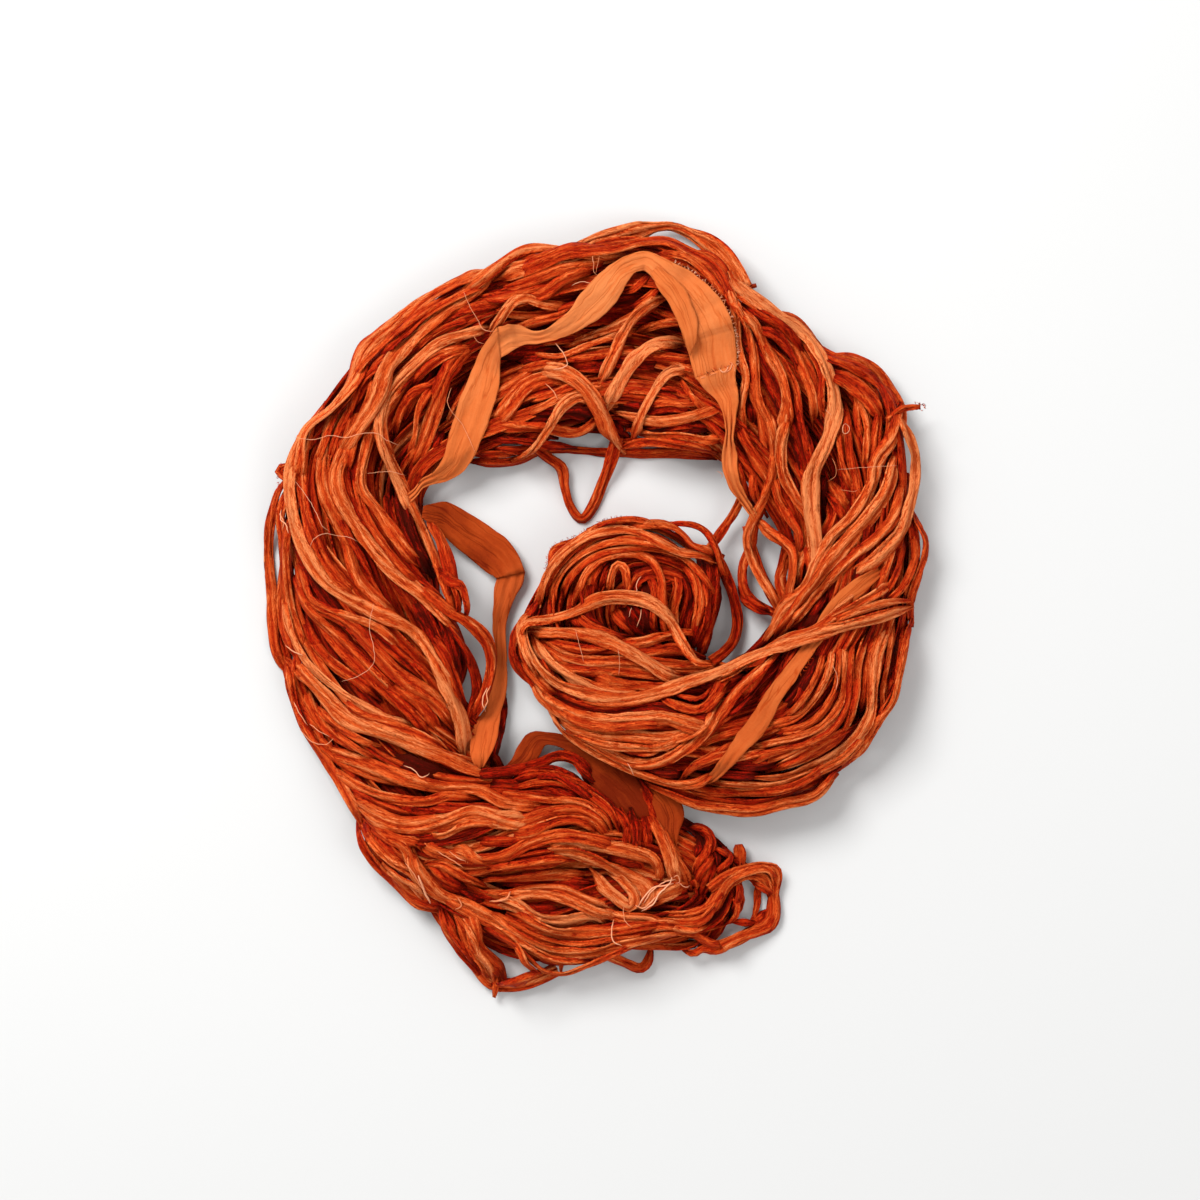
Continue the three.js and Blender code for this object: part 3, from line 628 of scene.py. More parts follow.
ARM_LENGTHS = [
    # Near black: painted shade laid over a deep gap between strands.
    Laid(9, -0.20, [(-98, 62), (-96, 46), (-90, 30), (-82, 16)]),
    Laid(7, 0.05, [(-84, -4), (-78, -14), (-72, -26), (-68, -40)]),
    # Near black: painted shade laid over a deep gap between strands.
    Laid(9, -0.20, [(-104, -72), (-95, -77), (-84, -82), (-74, -85)]),
    Laid(9, 0.12, [(-94, 8), (-85, -6), (-79, -20), (-74, -34), (-69, -48)]),
    Laid(8, 0.08, [(-86, 14), (-79, 0), (-74, -12), (-71, -24), (-70, -34)]),
    Laid(6, 0.22, [(-86, -10), (-77, -22), (-72.5, -32), (-68.5, -42), (-65, -52)]),
    Laid(7, 0.26, [(-80, -2), (-72, -10), (-65, -20), (-61.5, -30), (-60, -41), (-62, -50), (-66, -60)]),
    Laid(5, 0.25, [(-104, 46), (-99, 30), (-90, 18), (-80, 8), (-73, 0)]),
    Laid(6, 0.30, [(-112, -36), (-98, -47), (-82, -65)]),
    Laid(6, 0.38, [(-106, -35), (-90, -46), (-77, -65)]),
    Laid(5, 0.30, [(-98, -22), (-88, -30), (-76, -45), (-69, -62)]),
    Laid(4, 0.30, [(-90, -60), (-84, -68), (-78, -76)]),
    Laid(5, 0.45, [(-154, 68), (-160.5, 58), (-163.8, 42), (-164.1, 22), (-163.1, 5), (-162.8, -8),
                   (-161, -21),
                   (-154, -33)]),
    Laid(6, 0.42, [(-155, 62), (-159, 46), (-157.6, 34), (-157, 22), (-158.4, 9), (-158.6, -2),
                   (-156, -14), (-149, -28)]),
    Laid(5, 0.50, [(-154, 50), (-156, 32), (-155.5, 10), (-152, -6), (-146, -25)]),
    Laid(7, 0.40, [(-151, -18), (-150.5, -34), (-144.5, -49), (-134, -64)]),
    Laid(6, 0.50, [(-136, 104), (-144, 90), (-148, 66), (-144, 41), (-132, 17), (-117, 3)]),
    Laid(4, 0.35, [(-151, 62), (-151, 44), (-147, 28), (-142, 18)]),
    Laid(6, 0.58, [(-127, 106), (-135, 88), (-138, 62), (-126, 35), (-119, 15), (-98, -5)]),
    Laid(4, 0.35, [(-131, 52), (-124, 36), (-118, 26), (-110, 12)]),
    Laid(7, 0.66, [(-118, 104), (-124, 86), (-131, 66), (-124, 47), (-106, 24), (-88, 8), (-78, -3),
                   (-70, -11)]),
    Laid(6, 0.34, [(-92, 14), (-82, 6), (-74, -1), (-66, -5.5), (-60, -10.5), (-55, -17), (-52.5, -26),
                   (-54, -37), (-58, -48), (-64, -58)]),
    Laid(4, 0.40, [(-122, 70), (-117, 50), (-108, 34), (-97, 20), (-86, 11)]),
    Laid(6, 0.55, [(-109, 102), (-115, 84), (-118, 63), (-109, 49), (-96, 30), (-86, 20)]),
    Laid(5, 0.60, [(-108, 98), (-107, 84), (-98, 63), (-88.5, 44), (-80.5, 26), (-74, 8), (-70, -3)]),
    Laid(7, 0.35, [(-86, 48), (-78.5, 36), (-75, 25), (-72.8, 14), (-72, 2)]),
    Laid(4, 0.32, [(-76, 20), (-70.5, 9), (-69, 1), (-71, -6)]),
    Laid(5, 0.42, [(-82, 22), (-74, 14.5), (-68, 12.3), (-65.2, 6), (-65.2, -2), (-68, -7)]),
    Laid(8, 0.50, [(-151, 24), (-144, 4), (-125, -7), (-102, -31), (-82, -46), (-70, -62)]),
    Laid(5, 0.42, [(-152, 17), (-146, 1), (-130, -14), (-112, -31), (-99, -42)]),
    Laid(4, 0.60, [(-137, 0), (-122, -4), (-108, -10), (-96, -22)]),
    Laid(7, 0.80, [(-149, 87), (-154.3, 70), (-154, 52), (-148, 31), (-135.6, 12.4), (-114, 0), (-92, -11),
                   (-78, -34), (-68, -56), (-66, -75)]),
    Laid(5, 0.72, [(-158, 9), (-154, -11), (-143, -29), (-122, -45), (-104, -55), (-90, -60)]),
    Laid(5, 0.40, [(-146, -12), (-134, -26), (-120, -36), (-108, -46)]),
    Laid(6, 0.42, [(-131, -44), (-117, -53), (-101, -58), (-86, -65), (-74, -72)]),
    Laid(5, 0.55, [(-156, -25), (-153.8, -42), (-150, -54), (-144, -64.5), (-131.4, -83.2),
                   (-116.6, -109.4)]),
    Laid(5, 0.48, [(-148, -36), (-138, -56), (-124, -68), (-108, -76)]),
    Laid(4, 0.62, [(-143, -46), (-132, -57), (-119, -65), (-106, -69)]),
    Laid(7.5, 0.66, [(-156, -25), (-140, -40), (-125, -55), (-102, -64), (-78, -73), (-62, -80),
                     (-50, -82)]),
    Laid(5, 0.38, [(-144, -60), (-130, -74), (-114, -82), (-96, -87), (-80, -89)]),
]
LOW_LEFT_LENGTHS = [
    Laid(9, 0.30, [(-117, -107), (-108, -118), (-98, -127), (-90, -137)]),
    Laid(6, 0.25, [(-88, -98), (-72, -99), (-56, -100), (-40, -103)]),
    Laid(5, 0.30, [(-66, -117), (-50, -116), (-34, -115), (-20, -110)]),
    Laid(6, 0.45, [(-60, -131), (-48, -130), (-35, -128), (-22, -126), (-10, -125)]),
    Laid(6, 0.50, [(-62, -136), (-45, -135), (-30, -134), (-18, -133), (-4, -132)]),
    Laid(9, 0.30, [(-88, -124), (-80, -133), (-72, -139), (-62, -143)]),
    Laid(5, 0.45, [(-90, -128), (-78, -128), (-66, -134), (-54, -139)]),
    Laid(4, 0.50, [(-56, -92), (-40, -93), (-24, -95), (-8, -97), (3, -104), (8, -113)]),
    Laid(6, 0.58, [(-50, -105), (-38, -106), (-26, -102), (-12, -101), (0, -106), (7, -116)]),
    Laid(6, 0.45, [(-48, -112), (-34, -111), (-20, -106), (-8, -106), (4, -113)]),
    Laid(7, 0.62, [(-140, -68), (-120, -76), (-98, -84), (-78, -89), (-60, -90), (-46, -97), (-26, -98)]),
    Laid(5, 0.55, [(-136, -78), (-120, -89), (-102, -95), (-86, -96), (-74, -93), (-58, -95)]),
    Laid(4, 0.40, [(-128, -88), (-114, -96), (-100, -101), (-88, -103)]),
    Laid(5, 0.50, [(-120, -102), (-102, -113), (-90, -117), (-86, -124)]),
    Laid(9, 0.72, [(-124, -94), (-112, -103), (-96, -108), (-78, -107), (-62, -102), (-46, -105),
                   (-30, -106)]),
    Laid(4, 0.66, [(-90, -112), (-78, -113), (-66, -108), (-55, -107), (-42, -110)]),
    Laid(6, 0.60, [(-88, -112), (-86, -119), (-76, -123), (-62, -125), (-46, -123), (-34, -117),
                   (-18, -113),
                   (-2, -115), (13, -120)]),
    Laid(5, 0.55, [(-78, -119), (-68, -120), (-60, -125), (-50, -128)]),
    Laid(5, 0.45, [(-120, -106), (-118.6, -116.4), (-110.2, -128.3), (-100, -138.2), (-90, -147.2),
                   (-78, -151)]),
    Laid(6, 0.50, [(-109, -126), (-101.5, -135.5), (-94, -142.5), (-85, -147), (-74, -149)]),
    Laid(5, 0.70, [(-119, -107), (-112, -118), (-102, -127), (-92, -133), (-88, -140), (-82, -149)]),
    Laid(5, 0.76, [(-108, -127), (-100, -134), (-92, -139), (-85, -147)]),
    Laid(5, 0.50, [(-117, -106), (-106, -114), (-97, -119), (-92, -128), (-84, -140)]),
    Laid(5, 0.70, [(-62, -141), (-48, -143), (-32, -140), (-18, -140), (-4, -146), (10, -151)]),
    Laid(9, 0.86, [(-54, -145), (-42, -148), (-30, -154), (-18, -156), (-4, -154), (6, -158)]),
    Laid(5, 0.76, [(-48, -144), (-36, -142), (-24, -143), (-12, -147), (0, -152), (14, -154)]),
    Laid(9, 0.50, [(-46, -152), (-32, -159), (-16, -163), (2, -163), (20, -161), (36, -159)]),
    Laid(5, 0.55, [(-56, -151), (-42, -159), (-26, -166), (-8, -168), (10, -166), (28, -164)]),
    Laid(7, 0.70, [(-93, -118), (-90, -130), (-80, -142), (-66, -149), (-52, -156), (-38, -164),
                   (-22, -171),
                   (-4, -172.5), (10, -169), (26, -165), (42, -162)]),
    Laid(5, 0.60, [(-80, -143), (-66, -151), (-50, -160), (-36, -169), (-20, -176), (-2, -176)]),
    Laid(5, 0.45, [(-60, -157), (-50, -163.4), (-41, -168.6), (-33, -176), (-26, -181), (-16, -181.8),
                   (-5, -178), (4, -174.5), (14, -170.5), (22, -167)]),
    Laid(6, 0.52, [(-44, -163), (-40, -170), (-36.5, -177), (-29, -182)]),
    Laid(3, 0.70, [(-19, -171), (-18, -177), (-18.5, -183)]),
]
CORNER_LENGTHS = [
    Laid(6, 0.42, [(-79, -147), (-76.8, -158.8), (-67.8, -170.8), (-58.6, -180.6), (-50.5, -187)]),
    Laid(5, 0.34, [(-76, -150), (-72, -161), (-64, -172), (-57, -181)]),
    Laid(5, 0.60, [(-73, -150), (-67, -160), (-63, -170), (-56.5, -179), (-51.5, -188)]),
    Laid(8, 0.50, [(-66, -148), (-62.5, -159), (-60, -168), (-53.5, -175.3), (-47.8, -181.5), (-47, -189)]),
    Laid(3, 0.82, [(-69, -152), (-64, -162), (-61, -168), (-58, -174), (-53.5, -180), (-51.5, -188)]),
    Laid(6.5, 0.46, [(-53, -187), (-43, -187.8), (-35, -184.6), (-27, -180)]),
]
TOP_LENGTHS = [
    Laid(5, 0.42, [(-48, 158), (-32, 169), (-18, 177.5), (-6, 181.3), (4, 184), (14, 185.3), (26, 183.6),
                   (38, 179), (50, 170)]),
    Laid(7, 0.35, [(24, 175), (40, 174), (51, 167), (60, 157)]),
    Laid(7, 0.40, [(-60, 161), (-48, 171), (-34, 177), (-20, 177), (-4, 177)]),
    Laid(5, 0.25, [(-98, 92), (-92, 103), (-84, 112), (-74, 118), (-64, 122)]),
    Laid(5, 0.40, [(-102, 84), (-99, 98), (-92, 108), (-80, 113), (-68, 122)]),
    Laid(8, 0.46, [(-95, 70), (-88, 82), (-83, 95), (-79, 108), (-75, 118), (-68, 127), (-58, 133)]),
    Laid(4, 0.52, [(-96, 74), (-92, 86), (-90, 98), (-86, 107), (-80, 114)]),
    Laid(4, 0.50, [(-77, 88), (-72, 99), (-67, 108), (-63, 118)]),
    Laid(5, 0.60, [(-101, 72), (-106, 86), (-107, 98), (-101, 110), (-90, 121), (-78, 129), (-62, 133)]),
    Laid(4, 0.36, [(-96, 110), (-84, 122), (-72, 129), (-60, 131)]),
    Laid(5, 0.80, [(-92, 44), (-98, 58), (-106, 76), (-109, 93), (-105, 108), (-94, 121), (-80, 133),
                   (-64, 138),
                   (-50, 141)]),
    Laid(4, 0.42, [(-96, 126), (-84, 137), (-72, 143), (-58, 145)]),
    Laid(5, 0.45, [(-92, 135), (-78, 145), (-64, 151), (-48, 154), (-32, 153)]),
    Laid(5, 0.34, [(-135, 71), (-130, 88), (-124, 100), (-119, 112), (-110, 122), (-98, 133)]),
    Laid(5, 0.52, [(-126, 66), (-122, 84), (-117, 98), (-113, 108), (-109, 120)]),
    Laid(4, 0.44, [(-142, 68), (-137, 84), (-131, 98), (-124, 106), (-118, 116)]),
    Laid(8, 0.66, [(-131, 74), (-120, 90), (-110, 106), (-104, 122), (-93, 135), (-78, 149), (-64, 159),
                   (-52, 169)]),
    Laid(5, 0.40, [(-112, 124), (-98, 137), (-84, 149), (-68, 158), (-52, 164)]),
    Laid(10, 0.60, [(-152.3, 62), (-150, 77.8), (-145.5, 90.5), (-131.7, 102), (-121.8, 115.6), (-116, 130),
                    (-101, 142.5), (-83.7, 156.6), (-64.5, 167.0), (-48, 170.5)]),
    Laid(4, 0.50, [(-124, 112), (-117, 124), (-104, 136), (-90, 147), (-74, 157)]),
    Laid(6, 0.36, [(-62, 156), (-45, 157), (-30, 162), (-16, 167), (0, 174)]),
    Laid(5, 0.42, [(-56, 150), (-40, 147), (-24, 148), (-10, 152), (4, 158)]),
    Laid(5, 0.50, [(-48, 138), (-32, 143), (-18, 147), (-6, 154)]),
    Laid(9, 0.66, [(-52, 164), (-42, 170), (-28, 172), (-12, 173), (4, 177), (18, 179)]),
    Laid(5, 0.48, [(-50, 160), (-34, 164), (-18, 170), (-4, 173), (10, 176)]),
    Laid(5, 0.66, [(-56, 134), (-50, 143), (-43, 153), (-36, 156), (-26, 153), (-12, 152)]),
    Laid(5, 0.55, [(-38, 157), (-28, 157), (-18, 164), (-8, 168), (2, 170)]),
    Laid(6, 0.66, [(-70, 157), (-58, 166), (-46, 175), (-36, 180), (-22, 181), (-8, 179), (6, 178),
                   (20, 179)]),
    Laid(8, 0.34, [(-44, 166), (-30, 173.4), (-14, 179.9), (6, 181), (22, 184.4), (35, 184.8), (46, 179.4),
                   (58.5, 172), (66.5, 158), (71, 146)]),
    Laid(4, 0.50, [(28, 178), (42, 177), (52, 171), (60, 162), (66, 150)]),
]
HOLLOW_LENGTHS = [
    Laid(6, 0.15, [(5, 97), (11, 88), (19, 83)]),
    Laid(7, 0.04, [(22, 95), (38, 94), (54, 95)]),
    Laid(6, 0.04, [(-20, 122.5), (-6, 122), (8, 121)]),
    Laid(5, 0.32, [(-66, 74), (-48, 72.6), (-38, 74.5), (-29, 79), (-18, 80), (-8, 79.3), (6, 78.4),
                   (20, 77.7), (40, 77.7),
                   (60, 76)]),
    Laid(5, 0.37, [(-56, 80), (-38, 79.5), (-22, 82)]),
    Laid(5, 0.27, [(-42, 87), (-30, 86), (-20, 85.5)]),
    Laid(5, 0.37, [(6, 83), (24, 83), (40, 83), (56, 81)]),
    Laid(4, 0.19, [(-56, 85), (-40, 84), (-26, 82), (-10, 81)]),
    Laid(6, 0.03, [(-44, 126), (-30, 124), (-14, 127)]),
    Laid(8, 0.0, [(-40, 96), (-26, 97.5), (-10, 97.5), (2, 93)]),
    Laid(6, 0.03, [(8, 101), (24, 100), (40, 101), (54, 99)]),
    Laid(6, 0.03, [(18, 90), (36, 90), (54, 92)]),
    Laid(4, 0.37, [(20, 103), (34, 104), (46, 103), (58, 106)]),
    Laid(4, 0.41, [(22, 110), (34, 111), (46, 109)]),
    Laid(5, 0.47, [(14, 90), (28, 87), (40, 86), (54, 84), (68, 86)]),
    Laid(5, 0.43, [(10, 80), (26, 83), (42, 82), (60, 78)]),
    Laid(4, 0.51, [(36, 123), (46, 121), (56, 116)]),
    Laid(5, 0.43, [(12, 126), (26, 127), (42, 126), (54, 124)]),
    Laid(6, 0.57, [(-54, 92), (-40, 91), (-26, 90), (-12, 88), (-3, 92), (3, 100)]),
    Laid(8, 0.61, [(-54, 90), (-46, 100), (-36, 112), (-24, 116), (-10, 114), (4, 108)]),
    Laid(4, 0.69, [(-38, 97), (-28, 101), (-16, 107), (-4, 111), (10, 113)]),
    Laid(4, 0.55, [(-38, 104), (-26, 107), (-14, 112), (0, 118)]),
    Laid(5, 0.51, [(-44, 118), (-30, 122), (-14, 126), (2, 128), (18, 131)]),
    Laid(4, 0.65, [(-34, 129), (-20, 127), (-8, 131), (6, 136), (24, 141)]),
    Laid(5, 0.63, [(-20, 131), (-4, 137), (12, 143), (26, 151), (34, 158)]),
    Laid(4, 0.37, [(14, 150), (26, 157), (34, 166)]),
    Laid(4, 0.37, [(10, 158), (20, 162), (28, 170)]),
    Laid(5, 0.53, [(16, 137), (28, 142), (40, 143), (50, 142)]),
    Laid(5, 0.69, [(6, 100), (18, 96), (32, 94), (46, 96), (58, 100), (66, 104)]),
    Laid(5, 0.65, [(-43, 73.8), (-33, 79), (-24, 91), (-17, 102), (-8, 106), (2, 99)]),
    Laid(3, 0.59, [(40, 118), (45, 110), (52, 101), (58, 97)]),
    Laid(6, 0.73, [(0, 110), (8, 128), (17, 144), (27, 153), (36, 157)]),
    Laid(8, 0.81, [(4, 98), (13, 117), (22, 129), (32, 134), (46, 133)]),
    Laid(6, 0.77, [(17, 84), (22, 98), (29, 111), (37, 119), (50, 119)]),
    Laid(7, 0.79, [(-34, 120), (-18, 119), (-6, 111), (2, 98), (7, 86), (14, 78)]),
]
RIGHT_LENGTHS = [
    # Near black: painted shade laid over a deep gap between strands.
    Laid(8, -0.20, [(104, 34), (104, 22), (104, 8)]),
    # Near black: painted shade laid over a deep gap between strands.
    Laid(7, -0.20, [(112, 32), (117, 22), (112, 12)]),
    Laid(6, 0.05, [(118, 54), (120, 42), (114, 32)]),
    # Near black: painted shade laid over a deep gap between strands.
    Laid(8, -0.20, [(110, 4), (106, -6), (98, -12)]),
    Laid(6, 0.60, [(66, 163), (75.3, 155), (87, 148.4), (98, 146), (106.3, 138.4), (113, 130.3)]),
    Laid(6, 0.28, [(116, 60), (118, 48), (114, 38), (108, 28)]),
    Laid(6, 0.30, [(68.5, 80), (69.5, 69), (73, 58.5), (80, 50)]),
    Laid(5, 0.52, [(81, 74), (78, 64), (80.5, 54), (85, 46)]),
    Laid(4, 0.36, [(96, 76), (102, 68), (106, 58), (108, 46)]),
    Laid(4, 0.34, [(104, 92), (106, 80), (108, 70), (112, 60)]),
    Laid(5, 0.40, [(112, 129), (122, 123), (131, 116), (139, 106), (145, 94)]),
    Laid(5, 0.48, [(108, 133), (118.5, 127.9), (129.6, 125.8), (139.7, 119.6), (146.4, 110.2),
                   (150.8, 103.6), (152.6, 96), (151, 86), (146, 78)]),
    Laid(4, 0.50, [(122, 120), (129, 108), (130, 94), (134, 80)]),
    Laid(4, 0.56, [(129, 121), (130, 108), (135, 94), (135, 80), (133, 66)]),
    Laid(5, 0.44, [(136, 116), (141, 102), (140, 88), (138, 74), (136, 60)]),
    Laid(5, 0.50, [(146, 108), (147, 92), (143, 78), (140, 64)]),
    Laid(4, 0.42, [(124, 104), (125, 90), (126, 76), (129, 62), (130, 48)]),
    Laid(4, 0.46, [(119, 94), (121, 80), (124, 68), (128, 56)]),
    Laid(5, 0.50, [(113, 68), (119, 60), (124, 53), (129, 46)]),
    Laid(4, 0.40, [(112, 60), (118, 54), (123, 46), (126, 38)]),
    Laid(5, 0.42, [(72, 122), (76, 110), (81, 98), (83, 86), (88, 74)]),
    Laid(4, 0.36, [(88, 132), (94, 122), (99, 112), (101, 100), (104, 86), (106, 72)]),
    Laid(5, 0.48, [(92, 140), (100, 130), (107, 120), (111, 106), (110, 92)]),
    Laid(5, 0.54, [(78, 150), (88, 141), (97, 131), (103, 119), (108, 104), (108, 90)]),
    Laid(4, 0.60, [(62, 166), (68, 152), (70, 140), (71, 128), (74, 116), (72, 102), (74, 88)]),
    Laid(5, 0.64, [(64, 160), (72, 148), (77, 134), (79, 118), (81, 104), (86, 92), (86, 80)]),
    Laid(6, 0.70, [(70, 153), (79, 143), (84, 131), (91, 117), (94, 104), (92, 90), (95, 78)]),
    Laid(4, 0.56, [(80, 138), (88, 126), (93, 114), (96, 100), (96, 88)]),
    Laid(4, 0.50, [(100, 142), (106, 130), (112, 118), (112, 104), (113, 92)]),
    Laid(6, 0.46, [(68, 96), (74, 84), (80, 74), (86, 64), (90, 52)]),
    Laid(5, 0.62, [(84, 102), (88, 86), (88, 70), (84, 57), (78.3, 46), (75, 37), (75.8, 29), (80.5, 18),
                   (86.5, 8), (92, -3)]),
    Laid(6, 0.72, [(96, 98), (92, 84), (93, 68), (99, 56), (106, 46), (105, 34), (100, 22), (100, 8)]),
    Laid(5, 0.56, [(88, 70), (90, 56), (96, 45), (101, 36), (100, 24)]),
    Laid(7, 0.56, [(78.5, 47), (84.5, 39), (91, 34.2), (96.5, 28), (96.5, 18), (94.5, 8), (91, -4)]),
    Laid(4, 0.42, [(104, 38), (106, 26), (108, 16), (104, 6)]),
    Laid(8, 0.86, [(66, 169.6), (70.9, 162.2), (88.5, 148.8), (103.5, 138.4), (113, 124), (119, 104),
                   (115, 84), (108, 68),
                   (107, 50), (109, 34), (109.5, 22), (107, 12), (102, 3)]),
    Laid(5, 0.46, [(138, 118), (147, 107), (151, 92), (153, 76), (153, 60), (149, 46), (140, 36),
                   (130, 29)]),
    Laid(5, 0.42, [(156.5, 51), (161.2, 41), (164.5, 32), (161, 17.5), (157, 5), (157, -9)]),
    Laid(8, 0.30, [(114, 120), (126, 114), (136, 105), (144, 92)]),
    Laid(7, 0.38, [(111, 128.3), (125.6, 122.8), (137.6, 116.2), (146, 105), (150, 90)]),
    Laid(5, 0.25, [(72, 153), (86, 145), (96, 137), (103, 126)]),
    Laid(5, 0.30, [(78, 142), (90, 136), (98, 126), (102, 114)]),
    Laid(4, 0.48, [(155, 42), (159, 30), (156, 18), (150, 8), (140, 2)]),
    Laid(4, 0.40, [(153, 38), (152, 26), (148, 14), (141, 4)]),
    Laid(4, 0.54, [(150, 38), (145, 24), (140, 12), (133, 2)]),
    Laid(7, 0.66, [(152, 104), (148, 86), (140, 74), (137, 62), (128, 46), (118, 36), (110, 22), (104, 10),
                   (93.5, 2), (87, -9), (81, -18)]),
    Laid(8, 0.60, [(149, 80), (146, 62), (138, 48), (126, 34), (114, 20), (104, 6), (95, -7), (88, -16)]),
    Laid(6, 0.70, [(153, 66), (150, 50), (140, 36), (128, 26), (114, 12), (104, 0), (94, -11)]),
    Laid(7, 0.76, [(149.5, 99.5), (155.8, 88), (159.2, 77), (159.4, 64), (157, 52), (153, 40), (146, 31),
                   (136, 22),
                   (124, 14)]),
]
LOW_RIGHT_LENGTHS = [
    Laid(6, 0.32, [(44, -92), (60, -96.5), (77, -98), (92, -95.5), (107, -89)]),
    Laid(6, 0.30, [(94, -92), (108, -86), (119, -77)]),
    # Near black: painted shade laid over a deep gap between strands.
    Laid(9, -0.20, [(110, -16), (106, -28), (98, -42), (88, -52)]),
    Laid(8, 0.05, [(92, -24), (80, -36), (68, -48), (56, -52)]),
    Laid(6, 0.24, [(104, -32), (102, -44), (94, -54)]),
    Laid(5, 0.28, [(88, -20), (82, -30), (76, -38), (68, -48)]),
    Laid(3, 0.55, [(114, -17), (111, -30), (105, -42), (97, -51), (88, -55)]),
    Laid(4, 0.60, [(118, -15), (116, -30), (110, -43), (101, -53), (90, -57), (78, -58)]),
    Laid(4, 0.55, [(121, -13), (121, -28), (118, -42), (110, -54), (98, -60), (84, -61)]),
    Laid(4, 0.66, [(124, -13), (124, -30), (122, -46), (113, -58), (100, -64), (86, -67), (72, -70)]),
    Laid(4, 0.46, [(128, -13), (127, -30), (126, -46), (118, -60), (104, -68), (88, -72), (70, -78)]),
    Laid(5, 0.60, [(135, -10), (131, -26), (130, -44), (124, -60), (111, -71), (95, -78), (84, -81)]),
    Laid(8, 0.50, [(86, -80), (96, -77), (108, -71), (120, -64), (128, -58)]),
    Laid(4, 0.44, [(141, -8), (136, -24), (134, -40), (132, -54)]),
    Laid(4, 0.60, [(148, -6), (146, -22), (143, -38), (142, -54), (135, -66)]),
    Laid(5, 0.46, [(154, -8), (152, -24), (149, -38), (143, -50), (137, -62)]),
    Laid(5, 0.52, [(156.8, -4), (154.6, -18), (151.6, -34), (148, -46.5), (140, -58), (132, -71),
                   (120, -81)]),
    Laid(6, 0.70, [(146, -6), (140, -22), (138, -38), (136, -54), (126, -68), (110, -78), (92, -84),
                   (74, -84)]),
    Laid(5, 0.64, [(136, -60), (124, -74), (106, -83), (88, -88), (70, -88), (54, -86)]),
    Laid(5, 0.40, [(122, -78), (112, -90), (98, -96), (84, -94)]),
    Laid(5, 0.46, [(118, -76), (104, -86), (90, -91), (72, -92), (54, -91), (40, -86)]),
    Laid(6, 0.58, [(120.3, -81.7), (108.7, -93.9), (92.6, -97.8), (78, -101.2), (62, -100), (48, -97.6),
                   (34, -91.5), (20, -85)]),
    Laid(5, 0.50, [(42, -81), (54, -76), (64, -70), (74, -64)]),
    Laid(4, 0.44, [(46, -71), (58, -65), (70, -60), (82, -57)]),
    Laid(4, 0.34, [(50, -63), (62, -56), (72, -50)]),
    Laid(6, 0.56, [(40, -86), (48, -80), (60, -75), (74, -72), (88, -70)]),
    Laid(6, 0.54, [(92, -20), (82, -29), (70, -40), (61, -52), (52, -64), (40, -70)]),
]
